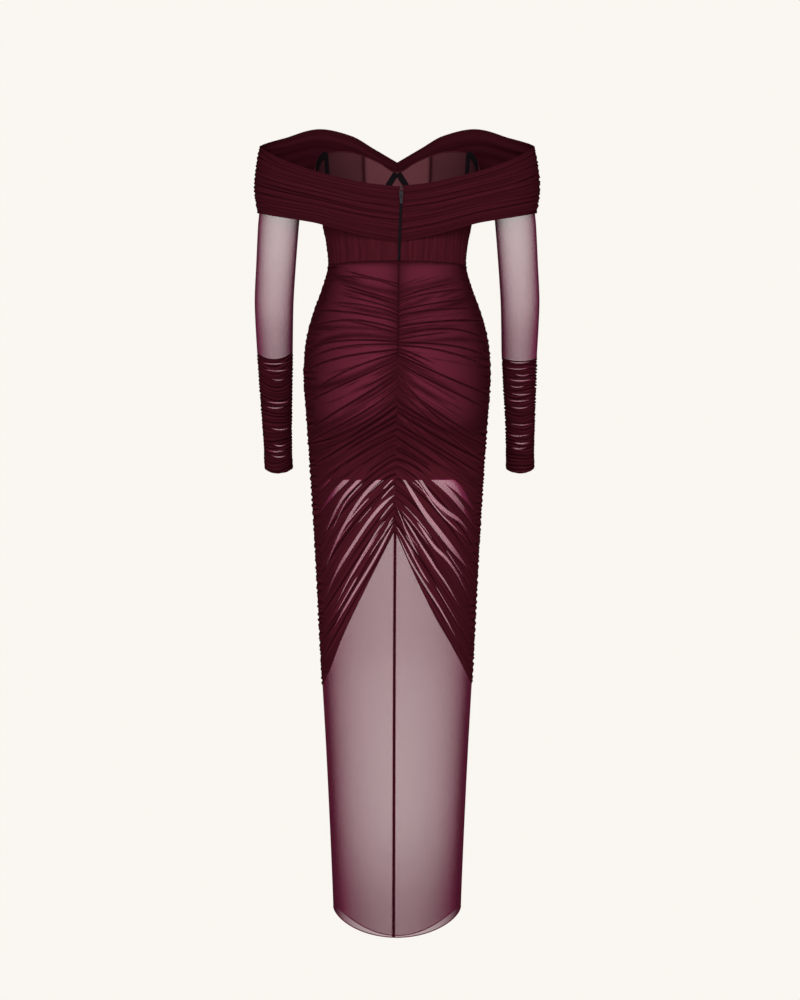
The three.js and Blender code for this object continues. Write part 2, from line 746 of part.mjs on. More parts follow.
for (const place of ['back_left', 'back_right', 'front_left', 'front_right']) {
  add(`band_${place}`, bandPanel(place), 'mesh');
}
for (const panel of ['back_left', 'back_right', 'front']) {
  const isFront = panel === 'front';
  const skirtColumns = isFront ? skirt.frontColumns : skirt.backColumns;
  const bodiceColumns = isFront ? bodice.frontColumns : bodice.backColumns;
  const bodiceRows = isFront ? bodice.frontRows : bodice.backRows;
  add(`skirt_${panel}`, skirtPanel(panel, skirtColumns), 'mesh');
  add(`lining_${panel}`, liningPanel(panel, lining.columns * (isFront ? 2 : 1)), 'lining');
  add(`bodice_${panel}`, bodicePanel(panel, bodiceRows, bodiceColumns), 'mesh');
}
for (const [name, side] of [['left', 1], ['right', -1]]) {
  const [cupFrom, cupTo] = [corset.sideSeam, corset.cupSeam]
    .map((angle) => side * angle)
    .sort((first, second) => first - second);
  add(`corset_back_${name}`, corsetBackPanel(side), 'corset');
  add(`corset_cup_${name}`, corsetPanel(cupFrom, cupTo, corset.cupColumns), 'corset');
  add(`cup_binding_${name}`, bindingStrip(side), 'corset');
  add(`tape_center_${name}`, tapeStrip(centerTape, side), 'tape');
  add(`tape_side_${name}`, tapeStrip(sideTape, side), 'tape');
  add(`sleeve_${name}`, sleeveTube(side), 'mesh');
  add(`cuff_${name}`, cuffTube(side), 'mesh');
}
add('corset_front_center', corsetPanel(corset.cupSeam, 360 - corset.cupSeam, corset.centerColumns), 'corset');
add('back_seam_strip', backSeamStrip(), 'mesh');
add('zip_chain', zipChain(), 'tape');
add('zip_slider', zipSlider(), 'metal').position.copy(sliderSeat);
add('zip_pull_tab', pullTab(), 'metal').position.copy(hinge);
const eyeSeat = new THREE.Vector3(
  lookUp(backSeam, 'z', 'x', eye.z),
  zipSurface(eye.z) + overPleats + eye.thick / 2,
  eye.z,
);
add('zip_eye', hookEye(), 'metal').position.copy(eyeSeat);
add('zip_hook', hookBar(), 'metal').position.copy(eyeSeat);

export default dress;
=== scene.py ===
import math

import bmesh
import bpy
import numpy as np
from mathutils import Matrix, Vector


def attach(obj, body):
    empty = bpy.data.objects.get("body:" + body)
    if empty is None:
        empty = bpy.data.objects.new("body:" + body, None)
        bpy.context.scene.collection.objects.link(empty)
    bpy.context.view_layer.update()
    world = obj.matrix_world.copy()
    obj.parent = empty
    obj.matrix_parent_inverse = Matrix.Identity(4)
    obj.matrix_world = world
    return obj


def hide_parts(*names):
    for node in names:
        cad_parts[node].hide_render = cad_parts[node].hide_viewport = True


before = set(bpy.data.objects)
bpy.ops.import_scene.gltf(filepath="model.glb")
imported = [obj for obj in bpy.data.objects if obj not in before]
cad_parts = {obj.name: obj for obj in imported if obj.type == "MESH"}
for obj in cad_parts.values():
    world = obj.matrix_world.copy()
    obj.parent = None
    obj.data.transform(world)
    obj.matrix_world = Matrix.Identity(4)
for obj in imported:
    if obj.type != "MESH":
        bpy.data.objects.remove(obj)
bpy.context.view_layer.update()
mm = 0.001

# Form of the dress in millimetres, the same numbers as its sewn walls
# height, half width, depth of the back, depth of the front
bodyRows = [
    (220, 149, 99, 110), (174, 147, 100, 112), (140, 142, 101, 112), (110, 136, 99, 110),
    (67, 127.5, 94, 102), (40, 122, 90.5, 95), (0, 119, 88, 88), (-40, 130, 94, 91),
    (-74, 142.5, 103, 94), (-108, 152.5, 112, 97), (-143, 158.5, 119, 100),
    (-186, 160.5, 124, 103), (-246, 157, 122, 105), (-349, 149, 112, 104),
    (-487, 140.5, 106, 102), (-679, 130.5, 103, 102), (-848, 121, 103, 103),
    (-1041, 112, 104, 104), (-1180, 107, 104, 104),
]
bust = {"depth": 18, "across": 76, "width": 46, "z": 140, "height": 56}
backSeamRows = [(124, -7.5), (0, -3.4), (-170, -1.5), (-480, 3.4), (-1180, 6)]
hem = {"side": -1099, "back": -1132, "front": -1172, "backPower": 1.4, "frontPower": 1.7}
liningHem = -366
insideSkirt = -3.6
zipHalf = 2.5
# Place of the camera, in millimetres
cameraSpot = {"x": -5, "y": 3600, "z": -401}
# Edges of a sheer gap by its depth in millimetres, and what is added to the depth in the shader
gapEdge = {"shut": -0.7, "open": 0.6, "added": 4}

# A fold line of the skirt: its drop below the waist on the back seam, its height on the side
# seam, and how it bows between them
foldRows = [
    (0, 0, 1), (40, -5, 0.8), (68.5, -29, 0.8), (90, -45, 0.8), (113.6, -88, 0.8),
    (138.6, -134, 1), (163.7, -224, 0.9), (190.4, -284, 0.85), (229, -311, 0.85),
    (257, -346, 0.95), (284, -373, 1), (322, -428, 1.2), (347, -487, 1.3),
    (402.5, -593, 1.2), (457.6, -698, 0.92), (480, -742, 0.9),
]
lastFold = 474
# Drop given to the plain rows below the last fold
belowLast = 60


# Smooth curve through a table: cubic pieces whose slopes come from the rows on both sides
def onTable(rows, at, column=1):
    rows = np.asarray(rows, float)
    if rows[1, 0] < rows[0, 0]:
        rows = rows[::-1]
    keys, values = rows[:, 0], rows[:, column]
    order = np.arange(len(keys))
    before, after = np.maximum(order - 1, 0), np.minimum(order + 1, len(keys) - 1)
    slopes = (values[after] - values[before]) / (keys[after] - keys[before])
    low = np.clip(np.searchsorted(keys, at) - 1, 0, len(keys) - 2)
    span = keys[low + 1] - keys[low]
    t = np.clip((at - keys[low]) / span, 0, 1)
    return (
        (2 * t**3 - 3 * t**2 + 1) * values[low]
        + (t**3 - 2 * t**2 + t) * span * slopes[low]
        + (3 * t**2 - 2 * t**3) * values[low + 1]
        + (t**3 - t**2) * span * slopes[low + 1]
    )


# 0 below low, 1 above high, with a soft start and end
def ramp(value, low, high):
    t = np.clip((value - low) / (high - low), 0, 1)
    return t * t * (3 - 2 * t)


# 1 at the line, falling to nothing on both sides as a bell
def bell(away, width):
    return np.exp(-((away / width) ** 2))


# 1 at the line, falling off on both sides with a sharper middle than a bell
def groove(away, power=1.5):
    return np.exp(-(np.abs(away) ** power))


# Ring around the wearer, angle 0 at the back and 90 at the left side: an ellipse, or for square
# above 2 a ring with fuller corners, moved out along its normal
def ringPoints(angle, z, half, back, front, out, square=2.0):
    across = np.sin(np.radians(angle))
    isBack = np.cos(np.radians(angle)) > 0
    depth = np.where(isBack, back, front)
    along = np.maximum(1 - np.abs(across) ** square, 0) ** (1 / square) * np.where(isBack, 1, -1)
    outX = np.abs(across) ** (square - 1) * np.sign(across) / half
    outY = np.abs(along) ** (square - 1) * np.sign(along) / depth
    size = np.hypot(outX, outY)
    x = half * across + outX / size * out
    y = depth * along + outY / size * out
    return np.stack(np.broadcast_arrays(x, y, z + 0.0), -1)


# The body's ring at a height, with the bust added as two soft humps at the front
def bodyPoints(angle, z, out=0.0):
    half, back, front = (onTable(bodyRows, z, column) for column in (1, 2, 3))
    points = ringPoints(angle, z, half, back, front, out)
    forward = np.maximum(-np.cos(np.radians(angle)), 0)
    sideways = bell(np.abs(points[..., 0]) - bust["across"], bust["width"])
    upward = bell(z - bust["z"], bust["height"])
    points[..., 1] -= bust["depth"] * sideways * upward * np.sqrt(forward)
    return points


# Angle that lies some millimetres further around the body
def angleAlong(angle, z, distance):
    step = 0.5
    gone = np.linalg.norm(bodyPoints(angle + step, z) - bodyPoints(angle + 0 * z, z), axis=-1)
    return angle + distance * step / gone


# Angle of the back seam at a height
def seamAngle(z):
    return np.degrees(np.arcsin(onTable(backSeamRows, z) / onTable(bodyRows, z, 1)))


# Share of a gap that is open, from its depth in millimetres, 0 at the edge of the gap
def openShare(depth):
    return ramp(depth, gapEdge["shut"], gapEdge["open"])


# Share of the pale tone by how far a point lies out to the side: less of it toward the side, down to 0.4 at
# the side itself, a painted shade of the sides
def paleWithSideShade(aside):
    return 1 - 0.6 * ramp(np.abs(aside), 0.76, 0.98)


# From many layers to few, by equal factors
def fewerLayers(many, few, share):
    return many ** (1 - share) * few**share


# Real distance between neighbouring fold lines for each unit of drop
def foldSpread(points, drop):
    down = np.gradient(points, axis=0) / np.maximum(np.gradient(drop, axis=0), 1e-6)[..., None]
    along = np.gradient(points, axis=1)
    apart = np.linalg.norm(np.cross(down, along), axis=-1)
    return apart / np.maximum(np.linalg.norm(along, axis=-1), 1e-9)


# Height of the hem by angle: highest at the sides, lower toward the middle of the back and front
def hemHeight(angle):
    along = np.cos(np.radians(angle))
    back = hem["side"] + (hem["back"] - hem["side"]) * np.maximum(along, 0) ** hem["backPower"]
    front = (hem["front"] - hem["side"]) * np.maximum(-along, 0) ** hem["frontPower"]
    return back + front


# New object with the given data, in the scene
def addObject(name, data):
    added = bpy.data.objects.new(name, data)
    bpy.context.scene.collection.objects.link(added)
    return added


# Corners of the faces of a grid of points, turned so that the faces look away from its middle
def outwardFaces(points, middle, around):
    rows, columns = points.shape[:2]
    number = np.arange(rows * columns).reshape(rows, columns)
    if around:
        number = np.concatenate([number, number[:, :1]], 1)
    corners = [number[:-1, :-1], number[1:, :-1], number[1:, 1:], number[:-1, 1:]]
    faces = np.stack(corners, -1).reshape(-1, 4)
    quads = points.reshape(-1, 3)[faces]
    normal = np.cross(quads[:, 2] - quads[:, 0], quads[:, 3] - quads[:, 1])
    away = quads.mean(1) - middle.reshape(-1, 3)[faces].mean(1)
    lookInward = (normal * away).sum() < 0
    return faces[:, ::-1] if lookInward else faces


# Which edges of the mesh lie on the rim of its grid
def rimEdges(mesh, rows, columns, around):
    ends = np.empty(len(mesh.edges) * 2, dtype=np.int32)
    mesh.edges.foreach_get("vertices", ends)
    row, column = np.divmod(ends.reshape(-1, 2), columns)
    onRim = (row[:, 0] == row[:, 1]) & ((row[:, 0] == 0) | (row[:, 0] == rows - 1))
    if not around:
        atSide = (column[:, 0] == 0) | (column[:, 0] == columns - 1)
        onRim |= (column[:, 0] == column[:, 1]) & atSide
    return onRim


# Mesh of a grid of points (rows, columns, xyz) in millimetres, facing away from the middle of each
# row, with a map in metres, one value per point for each named layer, and a wall of cloth
def gridPiece(name, points, material, values=None, around=False, thick=0.6, middle=None):
    rows, columns = points.shape[:2]
    if middle is None:
        middle = points * [0, 0, 1]
    faces = outwardFaces(points, middle + 0 * points, around)
    mesh = bpy.data.meshes.new(name)
    mesh.vertices.add(rows * columns)
    mesh.vertices.foreach_set("co", (points * mm).astype(np.float32).ravel())
    mesh.loops.add(faces.size)
    mesh.loops.foreach_set("vertex_index", faces.astype(np.int32).ravel())
    mesh.polygons.add(len(faces))
    mesh.polygons.foreach_set("loop_start", np.arange(0, faces.size, 4, dtype=np.int32))
    mesh.polygons.foreach_set("use_smooth", np.ones(len(faces), bool))
    stepAcross = np.linalg.norm(np.diff(points, axis=1, prepend=points[:, :1]), axis=-1)
    stepDown = np.linalg.norm(np.diff(points, axis=0, prepend=points[:1]), axis=-1)
    flat = np.stack([np.cumsum(stepAcross, 1), np.cumsum(stepDown, 0)], -1).reshape(-1, 2) * mm
    mesh.uv_layers.new(name="cloth").data.foreach_set("uv", flat[faces.ravel()].ravel())
    for key, value in (values or {}).items():
        layer = mesh.attributes.new(key, "FLOAT", "POINT")
        onPoints = np.broadcast_to(value, (rows, columns)).astype(np.float32)
        layer.data.foreach_set("value", onPoints.ravel())
    mesh.update(calc_edges=True)
    mesh.validate()
    onRim = rimEdges(mesh, rows, columns, around)
    mesh.attributes.new("sharp_edge", "BOOLEAN", "EDGE").data.foreach_set("value", onRim)
    mesh.materials.append(material)
    piece = addObject(name, mesh)
    if thick:
        wall = piece.modifiers.new("wall", "SOLIDIFY")
        wall.thickness = thick * mm
        wall.offset = -1
    return piece


# Round tube along a level line of points: rings square to the line, and ends that close just past it
def tubePiece(name, line, radius, material, sides=10):
    run = np.gradient(line, axis=0)
    run /= np.linalg.norm(run, axis=1, keepdims=True)
    first = np.cross(run, [0.0, 0.0, 1.0])
    first /= np.linalg.norm(first, axis=1, keepdims=True)
    second = np.cross(run, first)
    turn = np.linspace(0, 2 * math.pi, sides, endpoint=False)[None, :, None]
    ring = first[:, None] * np.cos(turn) + second[:, None] * np.sin(turn)
    tips = [line[:1] - run[:1] * radius * 0.6, line[-1:] + run[-1:] * radius * 0.6]
    caps = [np.repeat(tip[None], sides, 1) for tip in tips]
    points = np.concatenate([caps[0], line[:, None] + ring * radius, caps[1]])
    center = np.repeat(line[:, None], sides, 1)
    center = np.concatenate([center[:1] + run[0] * 0.01, center, center[-1:]])
    piece = gridPiece(name, points, material, around=True, thick=0, middle=center)
    mergePoints(piece)
    return piece


# Closes the ends and the seam of a tube, and points its faces outwards
def mergePoints(piece, within=1e-6):
    work = bmesh.new()
    work.from_mesh(piece.data)
    bmesh.ops.remove_doubles(work, verts=work.verts, dist=within)
    bmesh.ops.dissolve_degenerate(work, edges=work.edges, dist=within)
    bmesh.ops.recalc_face_normals(work, faces=work.faces)
    work.to_mesh(piece.data)
    work.free()


# Section of a crease, in its own widths: where its rolls lie, how high they are and how far it is
# worked out, then the depth at which its painted shade is full and the most painted shade it gets
creaseForm = {"rollAt": 2.3, "rollHeight": 0.34, "within": 6, "fullDepth": 1.6, "darkest": 1.2}


# Soft creases on a sheet. Each row is a crease: where it lies across the folds at share 0, 0.5 and
# 1 of the way along, the share where it has died out, its depth, its width and the share where it
# starts. A crease is a trough with a low roll on both sides. Gives the relief in millimetres, how
# deep in a crease a point lies, for painted shade, and how far up on a roll, for a painted highlight.
def foldRelief(across, share, creases, spread=1.0):
    relief = np.zeros(np.broadcast(across, share).shape)
    inCreaseShade, rollHighlight = np.zeros_like(relief), np.zeros_like(relief)
    for start, middle, end, reach, depth, width, first in creases:
        bow = (middle - (start + end) / 2) * 4 * share * (1 - share)
        away = (across - (start + (end - start) * share + bow)) * spread / width
        strong = 1 - ramp(share, reach - 0.25, reach + 0.05)
        if first > 0:
            strong = strong * ramp(share, first - 0.1, first + 0.12)
        near = np.abs(away) < creaseForm["within"]
        part, much = away[near], np.broadcast_to(strong, away.shape)[near]
        rollAt = creaseForm["rollAt"]
        roll = np.exp(-((part - rollAt) ** 2) / 2) + np.exp(-((part + rollAt) ** 2) / 2)
        relief[near] += depth * much * (creaseForm["rollHeight"] * roll - groove(part))
        # Painted shade in the trough, and a painted highlight on the rolls on both sides of it
        dark = much * min(depth / creaseForm["fullDepth"], creaseForm["darkest"])
        inCreaseShade[near] = np.maximum(inCreaseShade[near], dark * groove(part / 0.75))
        rollHighlight[near] += dark * roll * 0.6
    return relief, inCreaseShade, rollHighlight


# Even spread of many small creases with seeded sizes, for foldRelief
def smallCreases(seed, low, high, pitch, reach, depth, width, drift=4.0, first=(-1, -1)):
    pick = np.random.default_rng(seed)
    count = int((high - low) / pitch)
    start = np.linspace(low, high, count) + pick.uniform(-0.4, 0.4, count) * pitch
    lean = pick.normal(0, drift, (2, count))
    rows = [start, start + lean[0], start + lean[1]]
    rows += [pick.uniform(*span, count) for span in (reach, depth, width, first)]
    rows[3] = np.where(rows[6] > 0, rows[3] + rows[6], rows[3])
    return np.stack(rows, 1)


# Adds up several sets of creases: where across and along, the creases, how much painted shade they
# give, and how many millimetres lie in one unit across
def addFolds(sets):
    relief, shadeAndSeams, highlightAndTone = 0.0, 0.0, 0.0
    for across, share, creases, dark, spread in sets:
        more, deep, high = foldRelief(across, share, creases, spread)
        relief = relief + more
        shadeAndSeams = np.maximum(shadeAndSeams, deep * dark)
        highlightAndTone = highlightAndTone + high * dark
    return relief, np.clip(shadeAndSeams, 0, 1), np.clip(highlightAndTone, 0, 1)


print("shapes ready")


# Shader node group with named inputs and outputs
def newGroup(name, inputs, outputs):
    group = bpy.data.node_groups.new(name, "ShaderNodeTree")
    for label, kind, value in inputs:
        socket = group.interface.new_socket(label, in_out="INPUT", socket_type="NodeSocket" + kind)
        if value is not None:
            socket.default_value = value
    for label, kind in outputs:
        group.interface.new_socket(label, in_out="OUTPUT", socket_type="NodeSocket" + kind)
    return group, group.nodes.new("NodeGroupInput"), group.nodes.new("NodeGroupOutput")


# Math node of a tree, from numbers or other nodes' outputs
def calculate(tree, operation, first, second=None, clamp=False):
    node = tree.nodes.new("ShaderNodeMath")
    node.operation = operation
    node.use_clamp = clamp
    for socket, value in zip(node.inputs, (first, second)):
        if isinstance(value, (int, float)):
            socket.default_value = value
        elif value is not None:
            tree.links.new(value, socket)
    return node.outputs[0]


# Mix of two colours by a factor, as numbers, colours or other nodes' outputs
def mixColors(tree, factor, first, second, blend="MIX"):
    node = tree.nodes.new("ShaderNodeMix")
    node.data_type = "RGBA"
    node.blend_type = blend
    for socket, value in zip((node.inputs[0], node.inputs[6], node.inputs[7]), (factor, first, second)):
        if isinstance(value, (int, float, tuple)):
            socket.default_value = value
        else:
            tree.links.new(value, socket)
    return node.outputs[2]


# Layers left where gaps open, by equal factors from many to few, with the share of the pale tone
# that a single layer has
def makeOpenGroup():
    group, given, result = newGroup(
        "openedLayers",
        [("Layers", "Float", 1.0), ("Few", "Float", 1.0), ("Gap", "Float", 0.0), ("Bare", "Float", 0.0)],
        [("Layers", "Float"), ("Bare", "Float")],
    )
    # The same soft step as in openShare
    depth = calculate(group, "SUBTRACT", given.outputs["Gap"], gapEdge["shut"] + gapEdge["added"])
    inside = calculate(group, "DIVIDE", depth, gapEdge["open"] - gapEdge["shut"], clamp=True)
    square = calculate(group, "MULTIPLY", inside, inside)
    share = calculate(
        group, "MULTIPLY", square,
        calculate(group, "SUBTRACT", 3.0, calculate(group, "MULTIPLY", inside, 2.0)),
    )
    closed = calculate(group, "SUBTRACT", 1.0, share)
    many = calculate(group, "POWER", given.outputs["Layers"], closed)
    few = calculate(group, "POWER", given.outputs["Few"], share)
    layers = calculate(group, "MULTIPLY", many, few)
    pale = calculate(group, "DIVIDE", calculate(group, "SUBTRACT", 3.2, layers), 2.0, clamp=True)
    group.links.new(layers, result.inputs[0])
    group.links.new(calculate(group, "MULTIPLY", pale, given.outputs["Bare"]), result.inputs[1])
    return group


# How much several layers of sheer cloth hide: each layer lets a share through, and seen at a slant
# the light crosses more of its threads
def makeCoverGroup():
    group, given, result = newGroup(
        "layeredCover",
        [("Facing", "Float", 0.0), ("Layers", "Float", 1.0), ("Cover", "Float", 0.14)],
        [("Alpha", "Float")],
    )
    slant = calculate(group, "MAXIMUM", calculate(group, "SUBTRACT", 1.0, given.outputs["Facing"]), 0.06)
    slant = calculate(group, "POWER", slant, 1.6)
    crossed = calculate(group, "DIVIDE", given.outputs["Layers"], slant)
    through = calculate(group, "SUBTRACT", 1.0, given.outputs["Cover"])
    left = calculate(group, "POWER", through, crossed)
    group.links.new(calculate(group, "SUBTRACT", 1.0, left, clamp=True), result.inputs[0])
    return group


# Two crossing sets of threads, raised between their gaps
def makeWeaveGroup():
    group, given, result = newGroup(
        "crossedThreads",
        [("Vector", "Vector", None), ("Pitch", "Float", 0.0008)],
        [("Height", "Float")],
    )
    apart = group.nodes.new("ShaderNodeSeparateXYZ")
    group.links.new(given.outputs["Vector"], apart.inputs[0])
    waves = []
    for axis in range(2):
        phase = calculate(group, "DIVIDE", apart.outputs[axis], given.outputs["Pitch"])
        wave = calculate(group, "SINE", calculate(group, "MULTIPLY", phase, 2 * math.pi))
        waves.append(calculate(group, "MULTIPLY", wave, wave))
    group.links.new(calculate(group, "MAXIMUM", waves[0], waves[1]), result.inputs[0])
    return group


# Cloth colour: painted shade in the creases, a painted highlight and lighter tone where Lift is high, with
# soft clouds of lighter and darker cloth
def makeToneGroup():
    group, given, result = newGroup(
        "foldTone",
        [
            ("Vector", "Vector", None),
            ("Cloth", "Color", (0.07, 0.01, 0.02, 1)),
            ("Crease Color", "Color", (0.02, 0.002, 0.005, 1)),
            ("Sheer Color", "Color", (0.2, 0.015, 0.08, 1)),
            ("Crease", "Float", 0.0),
            ("Lift", "Float", 0.0),
            ("Bare", "Float", 0.0),
            ("Clouds", "Float", 0.15),
            ("Cloud Scale", "Float", 14.0),
        ],
        [("Color", "Color")],
    )
    noise = group.nodes.new("ShaderNodeTexNoise")
    noise.inputs["Detail"].default_value = 3
    group.links.new(given.outputs["Vector"], noise.inputs["Vector"])
    group.links.new(given.outputs["Cloud Scale"], noise.inputs["Scale"])
    cloud = calculate(group, "SUBTRACT", noise.outputs["Fac"], 0.5)
    cloud = calculate(group, "MULTIPLY", cloud, given.outputs["Clouds"])
    bright = calculate(group, "ADD", calculate(group, "MULTIPLY", cloud, 2.0), 1.0)
    # Lift brightens the cloth: a painted highlight on the rolls of the creases, and a lighter tone in some
    # pieces
    lifted = calculate(group, "MULTIPLY", given.outputs["Lift"], 0.8)
    bright = calculate(group, "ADD", bright, lifted)
    plain = group.nodes.new("ShaderNodeCombineColor")
    for socket in plain.inputs[:3]:
        group.links.new(bright, socket)
    cloth = mixColors(group, given.outputs["Bare"], given.outputs["Cloth"], given.outputs["Sheer Color"])
    creased = mixColors(group, given.outputs["Crease"], cloth, given.outputs["Crease Color"])
    group.links.new(mixColors(group, 1.0, creased, plain.outputs[0], "MULTIPLY"), result.inputs[0])
    return group


openGroup = makeOpenGroup()
coverGroup = makeCoverGroup()
weaveGroup = makeWeaveGroup()
toneGroup = makeToneGroup()


# Places a group in a tree, its inputs set from numbers, colours or other nodes' outputs
def useGroup(tree, group, **values):
    node = tree.nodes.new("ShaderNodeGroup")
    node.node_tree = group
    for key, value in values.items():
        socket = node.inputs[key.replace("_", " ")]
        if isinstance(value, (int, float, tuple)):
            socket.default_value = value
        else:
            tree.links.new(value, socket)
    return node


# Colour for the shader from one measured on a screen, by the usual curve
def linear(red, green, blue):
    parts = [value / 255 for value in (red, green, blue)]
    return (*[p / 12.92 if p < 0.04045 else ((p + 0.055) / 1.055) ** 2.4 for p in parts], 1)


# One of the values that a piece keeps for each of its points
def attribute(tree, name):
    node = tree.nodes.new("ShaderNodeAttribute")
    node.attribute_name = name
    return node.outputs["Fac"]


# Cloth: fold tone with painted shade in the creases and a painted highlight on their rolls, weave as bump,
# and for sheer cloth the cover of its layers as alpha
def makeCloth(name, settings):
    material = bpy.data.materials.new(name)
    material.use_nodes = True
    tree = material.node_tree
    shader = tree.nodes["Principled BSDF"]
    shader.inputs["Roughness"].default_value = settings["roughness"]
    shader.inputs["Specular IOR Level"].default_value = settings["specular"]
    shader.inputs["Sheen Weight"].default_value = settings["sheen"]
    shader.inputs["Sheen Roughness"].default_value = 0.45
    shader.inputs["Sheen Tint"].default_value = settings["sheenTint"]
    place = tree.nodes.new("ShaderNodeTexCoord")
    isMesh = "cover" in settings
    if isMesh:
        opened = useGroup(
            tree, openGroup, Layers=attribute(tree, "layers"), Few=attribute(tree, "few"),
            Gap=attribute(tree, "gap"), Bare=attribute(tree, "bare"),
        )
    tone = useGroup(
        tree, toneGroup, Vector=place.outputs["Object"], Cloth=settings["cloth"],
        Crease_Color=settings["creaseShadeColor"], Sheer_Color=settings.get("sheer", settings["cloth"]),
        Crease=attribute(tree, "shadeAndSeams") if settings.get("folds") else 0.0,
        Lift=attribute(tree, "highlightAndTone") if isMesh else 0.0,
        Bare=opened.outputs["Bare"] if isMesh else 0.0,
        Clouds=settings["clouds"], Cloud_Scale=settings["cloudScale"],
    )
    tree.links.new(tone.outputs[0], shader.inputs["Base Color"])
    weave = useGroup(tree, weaveGroup, Vector=place.outputs["UV"], Pitch=settings["pitch"])
    bump = tree.nodes.new("ShaderNodeBump")
    bump.inputs["Strength"].default_value = settings["weave"]
    bump.inputs["Distance"].default_value = 0.0002
    tree.links.new(weave.outputs[0], bump.inputs["Height"])
    tree.links.new(bump.outputs[0], shader.inputs["Normal"])
    if isMesh:
        slant = tree.nodes.new("ShaderNodeLayerWeight")
        slant.inputs["Blend"].default_value = 0.5
        cover = useGroup(
            tree, coverGroup, Facing=slant.outputs["Facing"], Layers=opened.outputs["Layers"],
            Cover=settings["cover"],
        )
        tree.links.new(cover.outputs[0], shader.inputs["Alpha"])
    return material


# Mesh cloth: its crease colour is the painted shade of the folds
meshLook = {
    "cloth": linear(47, 12, 19), "creaseShadeColor": linear(26, 4, 8), "sheer": (0.185, 0.024, 0.067, 1),
    "roughness": 0.9, "specular": 0.0, "sheen": 0.01, "sheenTint": linear(170, 60, 90),
    "clouds": 0.12, "cloudScale": 9.0, "pitch": 0.0008, "weave": 0.12, "cover": 0.293, "folds": True,
}
meshCloth = makeCloth("wine mesh", meshLook)
sleeveLayer = {"cover": 0.211, "sheer": (0.189, 0.030, 0.079, 1)}
sleeveCloth = makeCloth("wine mesh of the sleeves", {**meshLook, **sleeveLayer})
liningLook = {
    "cloth": linear(166, 64, 92), "creaseShadeColor": linear(60, 12, 24), "roughness": 0.9,
    "specular": 0.0, "sheen": 0.01, "sheenTint": linear(180, 90, 110), "clouds": 0.06,
    "cloudScale": 7.0, "pitch": 0.0005, "weave": 0.08,
}
liningCloth = makeCloth("wine lining", liningLook)
# Corset lining: its crease colour is the painted shade toward its sides and the dark of its seams
corsetCloth = makeCloth("corset lining", {
    **liningLook, "cloth": linear(96, 54, 60), "creaseShadeColor": linear(40, 14, 18), "clouds": 0.1,
    "folds": True,
})
tapeCloth = makeCloth("black tape", {
    **liningLook, "cloth": linear(20, 16, 19), "creaseShadeColor": linear(6, 5, 6), "clouds": 0.15,
    "pitch": 0.0012, "weave": 0.4, "sheenTint": linear(90, 85, 90),
})


# Metal with an uneven polish
def makeMetal(name, color, roughness):
    material = bpy.data.materials.new(name)
    material.use_nodes = True
    tree = material.node_tree
    shader = tree.nodes["Principled BSDF"]
    shader.inputs["Metallic"].default_value = 1.0
    place = tree.nodes.new("ShaderNodeTexCoord")
    tone = useGroup(
        tree, toneGroup, Vector=place.outputs["Object"], Cloth=color, Crease_Color=color,
        Clouds=0.2, Cloud_Scale=900.0,
    )
    tree.links.new(tone.outputs[0], shader.inputs["Base Color"])
    noise = tree.nodes.new("ShaderNodeTexNoise")
    noise.inputs["Scale"].default_value = 1500
    tree.links.new(place.outputs["Object"], noise.inputs["Vector"])
    rough = calculate(tree, "ADD", calculate(tree, "MULTIPLY", noise.outputs["Fac"], 0.15), roughness)
    tree.links.new(rough, shader.inputs["Roughness"])
    return material


nickel = makeMetal("nickel", linear(24, 23, 25), 0.36)
print("materials ready")


# Cloth piece that takes the place of a CAD node
def dressPiece(piece, node):
    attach(piece, "dress")
    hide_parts(node)


